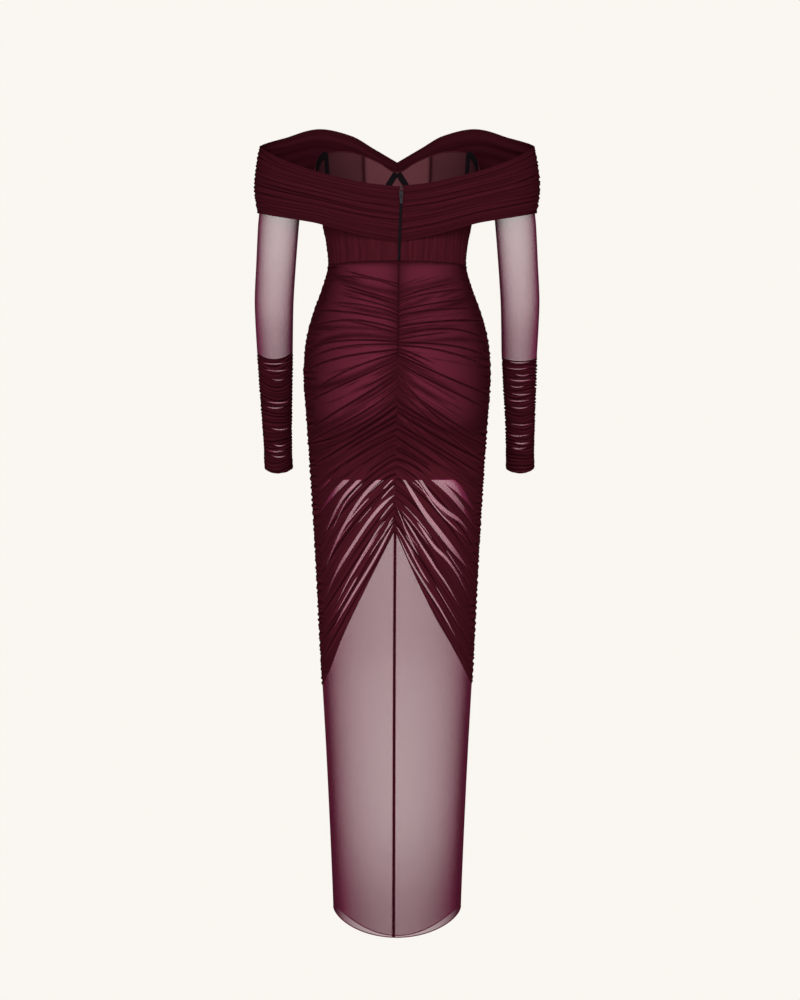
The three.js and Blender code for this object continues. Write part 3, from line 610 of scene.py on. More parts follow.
# Skirt, back panels. Rows follow the fold lines down to the last fold, then run straight to the hem.
skirtLook = {
    "foldRows": 440, "smoothRows": 24, "columns": 84, "seed": 40,
    # layers that the folds count as below the lining, and how far below the waist they get so dense
    "hide": 12.0, "denseFrom": (230, 362),
    # drops between which the back seam stops being pinched, and the pinch's depth and width
    "pinched": (160, 176), "pinch": (1.3, 2.2),
    # layers of the sheer part, by height
    "sheerRows": [
        (-500, 1.0), (-637, 0.99), (-735, 0.86), (-935, 0.83), (-1035, 1.01), (-1093, 1.23), (-1180, 1.3),
    ],
    # smaller creases: seed, darkness, first and last drop, how far apart, reach, depth, width, lean
    # and where they start
    "smaller": [
        (7, 0.95, 232, 452, 12, (0.45, 1.1), (1.2, 2.2), (1.7, 3.0), 4),
        (0, 0.8, 44, 458, 3.1, (0.05, 0.4), (0.25, 0.9), (0.6, 1.0), 2.2),
        (3, 0.7, 50, 330, 5.0, (0.2, 0.5), (0.3, 0.8), (0.7, 1.1), 3, (0.05, 0.6)),
        (5, 0.8, 168, 458, 3.4, (0.08, 0.3), (0.9, 1.6), (0.8, 1.2), 1.5),
        (1, 0.8, 296, 464, 3.4, (0.4, 1.3), (0.4, 1.2), (0.7, 1.2), 2.5),
        (4, 0.25, 60, 440, 19, (0.5, 1.2), (0.8, 1.5), (4, 7), 6),
    ],
    # main creases: drop at the seam, half way and at the side, reach, depth
    "left": [
        (39, 43, 35, 0.75, 1.0), (46, 48, 62, 0.9, 0.8), (70, 70, 60, 0.75, 1.5),
        (75, 77, 72, 0.7, 1.3), (86, 88, 92, 0.7, 1.2), (93, 96, 103, 0.8, 1.0),
        (105, 106, 108, 1.2, 1.3), (117, 114, 125, 1.2, 1.4), (124, 116, 118, 0.6, 1.3),
        (137, 137, 142, 1.2, 1.6), (142, 142, 148, 1.0, 1.2), (150, 149, 152, 1.2, 1.5),
        (156, 158, 165, 1.0, 1.4), (166, 167, 168, 1.2, 1.4), (182, 178, 176, 0.5, 1.3),
        (189, 188, 190, 1.2, 1.7), (197, 195, 195, 0.5, 1.2), (213, 219, 217, 1.2, 1.7),
        (228, 240, 222, 1.2, 2.0), (244, 249, 238, 0.95, 1.6), (258, 258, 257, 1.2, 1.9),
        (269, 270, 271, 0.7, 1.3), (284, 287, 286, 0.9, 1.8), (300, 300, 303, 0.7, 1.4),
        (317, 326, 330, 0.4, 1.4), (330, 340, 345, 0.25, 1.3),
    ],
    "right": [
        (64, 64, 64, 0.8, 1.2), (69, 75, 86, 0.9, 1.1), (86, 94, 96, 0.9, 1.3),
        (95, 102, 106, 0.9, 1.2), (113, 115, 118, 1.2, 2.2), (127, 124, 137, 1.2, 1.4),
        (133, 129, 130, 0.6, 1.3), (139, 141, 146, 1.2, 1.6), (143, 146, 151, 0.9, 1.3),
        (149, 158, 165, 0.4, 1.5), (154, 163, 170, 0.4, 1.7), (160, 163, 163, 1.2, 1.8),
        (163, 168, 172, 0.3, 1.2), (172, 172, 172, 1.2, 1.5), (187, 223, 226, 1.2, 1.9),
        (199, 211, 215, 0.9, 1.3), (209, 240, 251, 1.2, 1.7), (235, 262, 264, 0.95, 1.6),
        (246, 279, 280, 0.8, 1.4), (266, 286, 295, 0.8, 1.6), (284, 303, 310, 0.5, 1.3),
        (301, 322, 330, 0.4, 1.3), (320, 335, 340, 0.3, 1.3),
    ],
}
# Width and darkness that all the long creases share
mainCrease = {"width": 1.05, "darkness": 0.85}
# Short thin gaps: first and last drop, how many, start, length and width of each
hairLook = {"drops": (345, 446), "count": 12, "start": (0, 0.5), "length": (0.12, 0.4), "width": (0.5, 0.9)}
# Sheer gaps between the gathered folds below the lining: width, then share and drop along each
gapLines = {
    "left": [
        (2.2, (0.55, 288), (0.72, 295), (0.82, 299), (0.93, 302)),
        (5.4, (0.38, 310), (0.52, 314), (0.7, 318), (0.9, 325)),
        (3.8, (0.3, 326), (0.44, 329), (0.63, 333), (0.88, 347)),
        (1.5, (0.36, 336), (0.47, 337), (0.6, 340), (0.84, 357)),
        (3.9, (0.06, 350), (0.32, 352), (0.49, 357), (0.74, 368), (0.93, 380)),
        (3.6, (0.01, 392), (0.23, 392), (0.5, 395), (0.67, 395.5), (0.79, 398), (0.95, 408)),
        (1.6, (0.0, 363), (0.12, 369)),
        (1.6, (0.12, 414), (0.33, 419), (0.6, 422), (0.82, 425)),
        (2.4, (0.0, 437), (0.24, 442), (0.57, 440.5), (0.79, 440), (0.88, 447)),
        (1.4, (0.02, 376), (0.14, 381)),
        (1.4, (0.03, 404), (0.16, 407)),
        (1.4, (0.03, 426), (0.14, 432)),
    ],
    "right": [
        (1.6, (0.1, 347), (0.27, 349), (0.37, 356), (0.51, 359), (0.68, 356), (0.88, 352)),
        (3.6, (0.1, 331), (0.22, 339), (0.42, 351), (0.59, 349), (0.76, 343), (0.94, 346)),
        (6.5, (0.25, 325), (0.38, 326), (0.58, 327), (0.75, 330), (0.92, 335)),
        (9.0, (0.36, 314), (0.51, 315), (0.71, 314.5), (0.88, 322)),
        (5.2, (0.04, 355), (0.19, 371), (0.34, 380), (0.52, 381), (0.71, 379), (0.88, 376)),
        (2.8, (0.24, 402), (0.44, 404), (0.61, 398), (0.76, 397), (0.93, 403)),
        (2.0, (0.06, 415), (0.26, 421), (0.44, 423), (0.62, 421), (0.85, 422)),
        (1.3, (0.6, 390), (0.7, 390), (0.82, 390)),
        (1.6, (0.02, 413), (0.12, 428), (0.22, 434)),
        (1.9, (0.02, 449), (0.16, 454), (0.36, 453), (0.55, 451), (0.76, 452), (0.86, 454)),
        (1.5, (0.0, 352), (0.08, 362)),
        (1.4, (0.1, 442), (0.3, 446), (0.42, 445)),
    ],
}
# Lower edge of the last fold: share and drop
foldEnd = {
    "left": [(0, 450), (0.22, 453), (0.43, 456), (0.68, 460), (0.86, 467), (1, 468)],
    "right": [(0, 452), (0.22, 461), (0.48, 466), (0.64, 465), (0.82, 465), (1, 467)],
}


# Height of a fold line: from its drop on the seam to its height on the side by the bowed share
def foldHeight(drop, share):
    side = onTable(foldRows, drop, 1)
    return -drop + (side + drop) * np.clip(share, 0, 1) ** onTable(foldRows, drop, 2)


# Drops of the rows, closer together where the fold lines fan out toward the side
def fannedDrops(count):
    drop = np.linspace(0.15, lastFold, 800)
    side = onTable(foldRows, drop, 1)
    weight = np.cumsum(0.8 + np.abs(np.gradient(side, drop)) * 0.6)
    weight = (weight - weight[0]) / (weight[-1] - weight[0])
    return np.interp(np.linspace(0, 1, count), weight, drop)


# Depth of a point in the gap lines in millimetres, below 0 outside, the gaps narrowing to their ends
def gapDepth(drop, share, lines, spread):
    outside, deepest = -4.0, 3
    depth = np.full(np.broadcast(drop, share).shape, outside)
    for width, *line in lines:
        first, last = line[0][0] - 0.02, line[-1][0] + 0.06
        along = np.clip((share - first) / (last - first), 0, 1)
        taper = np.clip(np.minimum(along * 6, (1 - along) * 3.2), 0, 1) ** 0.6
        half = (width * 0.8 + 1) * taper * (1 - 0.15 * ramp(along, 0.6, 1)) - 1
        away = np.abs(drop - onTable(line, share)) * spread
        depth = np.maximum(depth, np.where((along > 0) & (along < 1), half - away, outside))
    return np.clip(depth, outside, deepest)


# Short thin gaps, each along one row of the grid, with seeded places
def hairGaps(seed, rows):
    pick = np.random.default_rng(seed)
    low, high = hairLook["drops"]
    within = rows[(rows > low) & (rows < high)]
    gaps = []
    for _ in range(hairLook["count"]):
        start, drop = pick.uniform(*hairLook["start"]), pick.choice(within)
        reach = start + pick.uniform(*hairLook["length"])
        gaps.append((pick.uniform(*hairLook["width"]), (start, drop), (reach, drop)))
    return gaps


# Gathers in the side seams, the same on the back and the front of a side
def sideGathers(sideName):
    seed = {"left": 51, "right": 52}[sideName]
    creases = smallCreases(seed, -715, -6, 6.6, (0.09, 0.36), (1.7, 3.9), (1.4, 2.3), 5.0)
    creases[:, 4] *= 0.4 + 0.6 * ramp(-creases[:, 0], 80, 200)
    return creases


# Relief of a back panel: main creases from the list, smaller ones between them, gathers at the side seam
def gatheredSkirt(drop, share, z, fromSide, sideName, seed, spread):
    main = [(*row, mainCrease["width"], -1) for row in skirtLook[sideName]]
    sets = [
        (drop, share, smallCreases(seed + number, *sizes), dark, spread)
        for number, dark, *sizes in skirtLook["smaller"]
    ]
    sets.insert(1, (drop, share, main, mainCrease["darkness"], spread))
    sets.insert(-1, (z, fromSide, sideGathers(sideName), 0.8, 1))
    return addFolds(sets)


# Angle across a back panel at a height, and the share of the panel's width from the back seam
def panelAngle(z, share, side):
    seam = seamAngle(z)
    angle = seam + (side * 90 - seam) * share
    seamPart = np.sin(np.radians(seam))
    return angle, (np.sin(np.radians(angle)) - seamPart) / (side - seamPart)


# Height and drop of every row, with plain rows added from the last fold down to the hem
def runToHem(z, drops, angle, share, rows):
    down = np.linspace(0, 1, rows + 1)[1:, None]
    z = np.concatenate([z, z[-1:] + (hemHeight(angle[-1:]) - z[-1:]) * down])
    drop = np.concatenate([drops + 0 * share, lastFold + down * belowLast + 0 * share])
    return z, drop


# 0 where the lining lies behind the skirt, 1 below the lining's hem
def pastLining(z):
    return ramp(-z, -liningHem - 0.8, -liningHem + 0.8)


# 0 down to 900 below the waist, rising to 1 at the hem
def towardHem(z):
    return np.clip((-z - 900) / 200, 0, 1) ** 1.5


# Dark line of the sewn edge at the waist
def waistSeam(drop):
    return 0.55 * bell(drop, 1.3)


# Back panel: fold lines fan out from the gathered back seam, with sheer gaps below the lining
def skirtBack(side, sideName):
    drops = fannedDrops(skirtLook["foldRows"])[:, None]
    share = np.linspace(0, 1, skirtLook["columns"])[None, :]
    angle, part = panelAngle(-drops, share, side)
    z, drop = runToHem(foldHeight(drops, part), drops, angle, share, skirtLook["smoothRows"])
    angle, part = panelAngle(z, share, side)
    flat = bodyPoints(angle, z)
    fromSeam = np.abs(flat[..., 0] - onTable(backSeamRows, z))
    spread = foldSpread(flat, drop)
    seed = skirtLook["seed"] + 10 * side
    relief, shadeAndSeams, highlightAndTone = gatheredSkirt(drop, part, z, 1 - share, sideName, seed, spread)
    depth = gapDepth(drop, part, gapLines[sideName] + hairGaps(60 + side, drops[:, 0]), spread)
    # Where the panel is gathered, gets dense toward the lining's hem, is near a gap and is pinched
    end = onTable(foldEnd[sideName], part)
    gathered = 1 - ramp(drop, end - 0.9, end + 0.9)
    below = ramp(-z, *skirtLook["denseFrom"]) ** 1.6
    near = np.clip(1 + depth / 3.5, 0, 1) * ramp(-z, 330, 370)
    pinched = 1 - ramp(drop, *skirtLook["pinched"])
    pinchDepth, pinchWidth = skirtLook["pinch"]
    # Relief: flatter and further out where it is dense, sunk at the gaps, nothing at the edges
    relief = relief * (1 - 0.4 * below) * (1 - 0.9 * near) + below * 1.1 - 1.7 * near
    relief = relief * gathered * ramp(drop, 0, 14) * ramp(fromSeam, -1, 4) * ramp(1 - share, 0, 0.013)
    relief -= pinchDepth * bell(fromSeam, pinchWidth) * gathered * pinched
    # Layers of cloth: more in the creases and at the seams, fewest below the last fold
    shadeAndSeams, highlightAndTone = shadeAndSeams * gathered, highlightAndTone * gathered
    covered = 0.96 + 4.5 * shadeAndSeams + 0.9 * np.exp(-fromSeam / 12) + 2 * np.exp(-drop / 4)
    layers = fewerLayers(covered, skirtLook["hide"], below)
    sheer = onTable(skirtLook["sheerRows"], z) + 5 * bell(fromSeam, 1.5) + 2.5 * ramp(share, 0.985, 1)
    layers = layers * gathered + sheer * (1 - gathered)
    # Tone: painted shade in the creases, dark along the seams and toward the hem, less so in the gaps;
    # a painted highlight on the rolls, lighter from 300 to 400 mm below the waist down, and less of the
    # pale tone toward the side as painted shade
    seamLine = 0.75 * bell(fromSeam, 1.3) * ramp(drop, 2, 8) * gathered * pinched
    shadeAndSeams = np.maximum.reduce([shadeAndSeams, seamLine, waistSeam(drop), 0.2 * towardHem(z)])
    shadeAndSeams = shadeAndSeams * (1 - 0.8 * (openShare(depth) * below)) * (1 + 0.45 * ramp(-z, 200, 300))
    highlightAndTone = highlightAndTone + 0.3 * ramp(-z, 300, 400) * gathered
    bare = pastLining(z)
    pale = bare * paleWithSideShade(np.sin(np.radians(angle)))
    values = {
        "layers": layers, "shadeAndSeams": np.minimum(shadeAndSeams, 1), "highlightAndTone": highlightAndTone,
        "bare": pale * (1 - 0.5 * ramp(part, 0.6, 0.9) * gathered),
        "few": 1.1 + 1.1 * ramp(part, 0.55, 0.95),
        "gap": (depth + gapEdge["added"]) * bare * gathered,
    }
    points = bodyPoints(angle, z, np.clip(relief, -2.6, 3.2))
    piece = gridPiece("skirt_back_" + sideName + "_cloth", points, meshCloth, values)
    dressPiece(piece, "skirt_back_" + sideName)


skirtBack(1, "left")
skirtBack(-1, "right")

frontLook = {
    "foldRows": 215, "smoothRows": 20, "columns": 116, "rise": 0.93, "denseFrom": (230, 364),
    "seeds": {"left": 65, "right": 66},
}


# Skirt front: folds gathered into both side seams, sheer below the lining but for its sides.
# A row goes from its height in the middle to that of the back's row at the side seams, by the
# square of how far out it lies.
def skirtFront():
    drops = np.linspace(0.15, lastFold, frontLook["foldRows"])[:, None]
    share = np.linspace(0, 1, frontLook["columns"])[None, :]
    angle = 90 + 180 * share
    across = np.abs(np.sin(np.radians(angle)))
    middle = -drops * frontLook["rise"]
    z = middle + (onTable(foldRows, drops, 1) - middle) * across**2
    z, drop = runToHem(z, drops, angle, share, frontLook["smoothRows"])
    sets = []
    for sideName, fromSide in (("left", share + 0 * z), ("right", 1 - share + 0 * z)):
        seed = frontLook["seeds"][sideName]
        long = smallCreases(seed, 14, 330, 8.5, (0.2, 0.75), (0.7, 1.7), (1.0, 1.7), 4.0)
        fine = smallCreases(seed + 10, 14, 400, 5.5, (0.1, 0.5), (0.4, 1.0), (0.8, 1.2), 3.0)
        sets.append((drop, fromSide, long, 0.85, 1))
        sets.append((drop, fromSide, fine, 0.8, 1))
        sets.append((z, 2 * fromSide, sideGathers(sideName), 0.8, 1))
    relief, shadeAndSeams, highlightAndTone = addFolds(sets)
    edge = -350 - 350 * across**9
    gathered = ramp(z, edge - 14, edge + 14)
    relief *= gathered * ramp(drop, 0, 14) * ramp(np.minimum(share, 1 - share), 0, 0.008)
    covered = 0.8 + 4.5 * shadeAndSeams + 2 * np.exp(-drop / 4)
    below = ramp(-z, *frontLook["denseFrom"]) ** 1.6
    layers = fewerLayers(covered, skirtLook["hide"], below)
    layers = layers * gathered + onTable(skirtLook["sheerRows"], z) * (1 - gathered)
    shadeAndSeams = np.maximum(shadeAndSeams * gathered, waistSeam(drop))
    # Painted shade in the creases, a painted highlight on their rolls, and less pale tone toward the sides
    # as painted shade
    values = {
        "layers": layers, "shadeAndSeams": np.maximum(shadeAndSeams, 0.2 * towardHem(z)), "highlightAndTone": highlightAndTone * gathered,
        "bare": pastLining(z) * paleWithSideShade(np.sin(np.radians(angle))),
    }
    points = bodyPoints(angle, z, np.clip(relief, -2.3, 3.0))
    piece = gridPiece("skirt_front_cloth", points, meshCloth, values)
    dressPiece(piece, "skirt_front")


skirtFront()
print("skirt ready")


# The same value at every angle or height
def steady(value):
    return lambda at: value + 0 * at


# Grid of a plain wall between two angles and two heights: angle, height, share down, share across
def wallGrid(fromAngle, toAngle, topZ, bottomZ, rows, columns):
    down = np.linspace(0, 1, rows)[:, None]
    share = np.linspace(0, 1, columns)[None, :]
    rough = topZ(0) * (1 - down) + bottomZ * down
    angle = fromAngle(rough) + (toAngle(rough) - fromAngle(rough)) * share
    z = topZ(angle) + (bottomZ - topZ(angle)) * down
    angle = fromAngle(z) + (toAngle(z) - fromAngle(z)) * share
    return angle, z, down, share


# What the lining, the bodice and the corset each keep free above or below the waist
waistGap = 0.3


# Lining of the skirt, a plain sheath with a turned hem
def makeLining(name, fromAngle, toAngle, columns):
    angle, z = wallGrid(fromAngle, toAngle, steady(-waistGap), liningHem, 60, columns)[:2]
    wave = 0.25 * np.sin(angle * 0.35 + z * 0.02)
    turned = 0.35 * ramp(-z, -liningHem - 14, -liningHem - 12.5)
    points = bodyPoints(angle, z, insideSkirt - 0.3 + wave * 0.5 + turned)
    piece = gridPiece(name + "_cloth", points, liningCloth, thick=0.7)
    dressPiece(piece, name)


makeLining("lining_back_left", lambda z: seamAngle(z) + 0.1, steady(89.9), 50)
makeLining("lining_back_right", lambda z: seamAngle(z) - 0.1, steady(-89.9), 50)
makeLining("lining_front", steady(90.1), steady(269.9), 90)

# Top edge of the corset, by the angle from the middle of the back
corsetEdgeRows = [
    (0, 98), (45, 112), (75, 145), (95, 168), (110, 190), (125, 205), (143, 211), (156, 206),
    (168, 194), (176, 181), (180, 179),
]


# Angle from the middle of the back, the same on both sides, 0 to 180
def turnedAngle(angle):
    return np.abs((np.asarray(angle) + 180) % 360 - 180)


# Height of the corset's top edge at an angle
def corsetEdge(angle):
    return onTable(corsetEdgeRows, turnedAngle(angle))


bodiceLook = {
    "rows": 72, "below": 12, "wrinkles": 46, "bones": (24, 52, 78), "boneWidth": 1.6, "boneHeight": 0.5,
    "hide": 7,
}


# Bodice: mesh drawn tight over the corset, with fine upright wrinkles between its bones, painted shade in
# them and painted highlight streaks beside them
def makeBodice(name, fromAngle, toAngle, columns, seed):
    def top(angle):
        return corsetEdge(angle) - bodiceLook["below"]

    angle, z, down, share = wallGrid(fromAngle, toAngle, top, waistGap, bodiceLook["rows"], columns)
    pick = np.random.default_rng(seed)
    relief, shadeAndSeams, pale = np.zeros_like(z), np.zeros_like(z), np.zeros_like(z)
    for place in pick.uniform(0, 1, bodiceLook["wrinkles"]):
        lean, low, high = pick.normal(0, 0.02), pick.uniform(0, 0.5), pick.uniform(0.4, 1)
        tall = ramp(down, low, low + 0.15) * (1 - ramp(down, low + high - 0.15, low + high))
        line = groove((share - place - lean * down) * columns / 1.6) * tall
        size = pick.uniform(0.1, 0.45)
        # Each wrinkle sinks the cloth with painted shade along it, and a painted highlight streak beside it
        relief -= size * line
        shadeAndSeams = np.maximum(shadeAndSeams, line * size)
        beside = groove((share - place - 0.018 - lean * down) * columns / 1.4)
        pale = np.maximum(pale, beside * tall * size * 2.2)
    for bone in bodiceLook["bones"]:
        relief += bodiceLook["boneHeight"] * bell(turnedAngle(angle) - bone, bodiceLook["boneWidth"])
    # Gathers at the waist and at the side seams
    across = smallCreases(seed + 3, 0.5, 26, 6, (0.5, 1.4), (0.3, 0.7), (0.9, 1.4), 1.5)
    low, waistShade, waistHighlight = foldRelief(z, share + 0 * z, across)
    atWaist = 1 - ramp(z, 10, 26)
    gathered = smallCreases(seed + 4, 2, 170, 6.5, (2, 3), (0.9, 1.8), (1.4, 2.0), 1.5)
    atSide, sideShade, sideHighlight = foldRelief(z, share + 0 * z, gathered)
    near = 1 - ramp(np.abs(np.cos(np.radians(angle))), 0.08, 0.4)
    relief = (relief + low * atWaist + atSide * near) * ramp(np.minimum(share, 1 - share), 0, 0.02)
    waistLine = 0.6 * bell(z - waistGap, 1.3)
    shadeAndSeams = np.maximum.reduce([shadeAndSeams, waistShade * 0.6 * atWaist, sideShade * near * 0.7, waistLine])
    highlightAndTone = np.maximum(pale, waistHighlight * 0.5 * atWaist + sideHighlight * 0.6 * near)
    # A lighter tone over the whole bodice, with the painted highlights over it beside the wrinkles and on
    # the gathers' rolls
    values = {
        "layers": bodiceLook["hide"], "shadeAndSeams": shadeAndSeams, "highlightAndTone": 0.6 + 0.8 * np.clip(highlightAndTone, 0, 1), "bare": 0,
    }
    points = bodyPoints(angle, z, np.clip(relief, -1.2, 1.6))
    piece = gridPiece(name + "_cloth", points, meshCloth, values, thick=0.7)
    dressPiece(piece, name)


# Edge of a back panel beside the zip
def zipSide(side):
    return lambda z: angleAlong(seamAngle(z), z, side * zipHalf)


makeBodice("bodice_back_left", zipSide(1), steady(90), 90, 71)
makeBodice("bodice_back_right", zipSide(-1), steady(-90), 90, 72)
makeBodice("bodice_front", steady(90), steady(270), 140, 73)

corsetLook = {"sideSeam": 78, "cupSeam": 156, "ridge": 0.7, "thick": 1.2, "halfSeam": 0.15}


# Corset panel: smooth, with a raised seam at its edges, dark along it. Its painted shade is darkest by the
# side.
def makeCorset(name, fromAngle, toAngle, columns, rows):
    angle, z, down, share = wallGrid(fromAngle, toAngle, corsetEdge, waistGap, rows, columns)
    atSeam = bell(share * columns, 1.3) + bell((1 - share) * columns, 1.3)
    turned = turnedAngle(angle)
    # Painted shade, darkest at the side seam and lighter toward the middle of the front, the back panels
    # half as dark, and a dark line along each seam
    tone = 0.95 - 0.35 * ramp(turned, 90, 150) - 0.4 * ramp(turned, 155.5, 156.5)
    shadeAndSeams = 0.6 * atSeam + tone * (turned > 85) + 0.5 * (turned <= 85)
    points = bodyPoints(angle, z, insideSkirt - 0.2 - corsetLook["ridge"] * 0.3 * atSeam)
    values = {"shadeAndSeams": np.clip(shadeAndSeams, 0, 1)}
    piece = gridPiece(name + "_cloth", points, corsetCloth, values, thick=corsetLook["thick"])
    dressPiece(piece, name)


# Edge of a corset panel at an angle, half a seam away from it
def fixedAngle(angle, side):
    return lambda z: angleAlong(angle + 0 * z, z, side * corsetLook["halfSeam"])


for sideName, side in (("left", 1), ("right", -1)):
    makeCorset(
        "corset_back_" + sideName,
        lambda z, s=side: angleAlong(seamAngle(z), z, s * corsetLook["halfSeam"]),
        fixedAngle(side * corsetLook["sideSeam"], -side), 60, 40,
    )
    makeCorset(
        "corset_cup_" + sideName, fixedAngle(side * corsetLook["sideSeam"], side),
        fixedAngle(side * corsetLook["cupSeam"], -side), 70, 60,
    )
makeCorset(
    "corset_front_center", fixedAngle(corsetLook["cupSeam"], 1),
    fixedAngle(360 - corsetLook["cupSeam"], -1), 44, 50,
)

bindingLook = {"radius": 1.1, "inside": -4.4, "above": 0.9}
bindingCloth = makeCloth("bound edge", {
    **liningLook, "cloth": linear(62, 22, 29), "creaseShadeColor": linear(40, 12, 18),
})


# Bound edge along the top of a cup, from its side seam to the middle of the front
def makeBinding(sideName, side):
    angle = side * np.linspace(corsetLook["sideSeam"], 179.8, 90)
    line = bodyPoints(angle, corsetEdge(angle) + bindingLook["above"], bindingLook["inside"])
    piece = tubePiece("cup_binding_" + sideName + "_roll", line, bindingLook["radius"], bindingCloth)
    dressPiece(piece, "cup_binding_" + sideName)


makeBinding("left", 1)
makeBinding("right", -1)

# Black tapes inside the cups
# Widths of the tapes by place, how far inside the body's ring they lie, and the ring's radius
tapeLook = {"center": 10.5, "side": 11.0, "out": -6.15, "thick": 0.9, "radius": 147}
# Middle line of each tape as angle and height
tapeLines = {
    "center": [(179.4, 178), (176.2, 166), (172.8, 152), (168, 128), (164, 80)],
    "side": [
        (97, 170), (107, 187), (113, 196), (117.2, 200), (118.6, 201), (119.4, 199), (119.6, 191),
        (119.8, 165), (120.5, 110),
    ],
}


# Flat tape along a line inside the corset, with a raised edge on both sides
def makeTape(place, sideName, side):
    line = np.array(tapeLines[place], float)
    steps = np.arange(len(line))
    at = np.linspace(0, len(line) - 1, 90)
    keyed = np.column_stack([steps, line])
    angle, z = onTable(keyed, at, 1), onTable(keyed, at, 2)
    around = np.gradient(angle) * math.radians(1) * tapeLook["radius"]
    up = np.gradient(z)
    size = np.hypot(around, up)
    shift = np.linspace(-0.5, 0.5, 9)[None, :] * tapeLook[place]
    atZ = z[:, None] + (around / size)[:, None] * shift
    start = side * angle[:, None] + 0 * shift
    atAngle = angleAlong(start, z[:, None] + 0 * shift, -side * (up / size)[:, None] * shift)
    edge = 0.18 * bell(np.abs(shift) - tapeLook[place] * 0.38, 0.5)
    # The right one of the middle pair crosses under the left one
    deeper = 1.0 if (place, side) == ("center", -1) else 0.0
    points = bodyPoints(atAngle, atZ, tapeLook["out"] - edge - deeper)
    name = "tape_" + place + "_" + sideName
    piece = gridPiece(name + "_ribbon", points, tapeCloth, thick=tapeLook["thick"])
    dressPiece(piece, name)


for place in tapeLines:
    makeTape(place, "left", 1)
    makeTape(place, "right", -1)
print("bodice and corset ready")

# Band around the upper arms: angle, height of its top and of its bottom edge
bandEdgeRows = [
    (0, 123, 31), (14, 130, 42), (24, 139, 53), (37, 152, 66), (74, 195, 86), (90, 208, 92),
    (123, 234, 112), (144, 254, 131), (160, 243.5, 124), (170, 221, 111), (180, 197, 100),
]
zipTop, zipFoot = bandEdgeRows[0][1:]
# Half width, depth of the back and depth of the front, by the share from the top to the bottom edge
bandSwellRows = [(0, 236, 104, 108), (0.3, 242, 103, 118), (0.65, 245, 100, 125), (1, 240, 92.3, 123)]
bandLook = {
    "rows": 120, "backColumns": 90, "frontColumns": 64, "tall": 110, "ease": 7, "easeAngle": 28,
    "square": 2.6, "hide": 14.0,
    # place across the band at the zip, half way and at the arm, reach, depth, width, start
    "backCreases": [
        (5, 8, 8, 1.3, 1.1, 1.1, -1), (10, 14, 11, 1.3, 1.5, 1.3, 0.1), (16, 19, 17, 0.9, 1.0, 1.1, -1),
        (22, 24, 30, 0.85, 1.4, 1.3, 0.15), (27, 31, 24, 1.3, 1.5, 1.4, 0.25),
        (34, 33, 36, 0.7, 1.1, 1.1, -1),
        (43, 41, 45, 1.3, 1.8, 1.4, -1), (47, 50, 53, 1.3, 1.2, 1.2, 0.35), (53, 55, 50, 0.8, 1.5, 1.3, -1),
        (58, 61, 64, 1.3, 1.8, 1.4, 0.05), (66, 69, 74, 1.3, 1.9, 1.5, -1), (71, 74, 79, 0.6, 1.3, 1.2, -1),
        (77, 80, 84, 1.3, 1.2, 1.2, 0.4), (84, 85, 88, 1.3, 1.8, 1.4, -1), (91, 93, 93, 0.8, 1.4, 1.3, 0.1),
        (97, 97, 101, 1.3, 1.6, 1.3, -1),
    ],
    "frontCreases": [
        (20, 20, 18, 1.3, 0.8, 3.0, -1), (33, 38, 32, 1.3, 1.2, 3.4, 0.15), (52, 55, 58, 1.3, 1.3, 3.6, -1),
        (64, 68, 66, 1.3, 1.1, 3.0, 0.3), (74, 79, 82, 1.3, 1.3, 3.4, -1), (92, 95, 98, 1.3, 1.1, 3.0, -1),
    ],
}


# Ring of the band, fuller at its corners, swelling out half way down at the back and the front
def bandPoints(angle, down, out):
    turned = turnedAngle(angle)
    top, bottom = onTable(bandEdgeRows, turned, 1), onTable(bandEdgeRows, turned, 2)
    half, back, front = (onTable(bandSwellRows, down, column) for column in (1, 2, 3))
    isBack = np.cos(np.radians(angle)) > 0
    ease = np.where(isBack, np.minimum(turned / bandLook["easeAngle"], 1), 1)
    swell = bandLook["ease"] * ease * np.sin(math.pi * down) * np.abs(np.cos(np.radians(angle)))
    z = top + (bottom - top) * down
    return ringPoints(angle, z, half, back, front, out + swell, bandLook["square"])


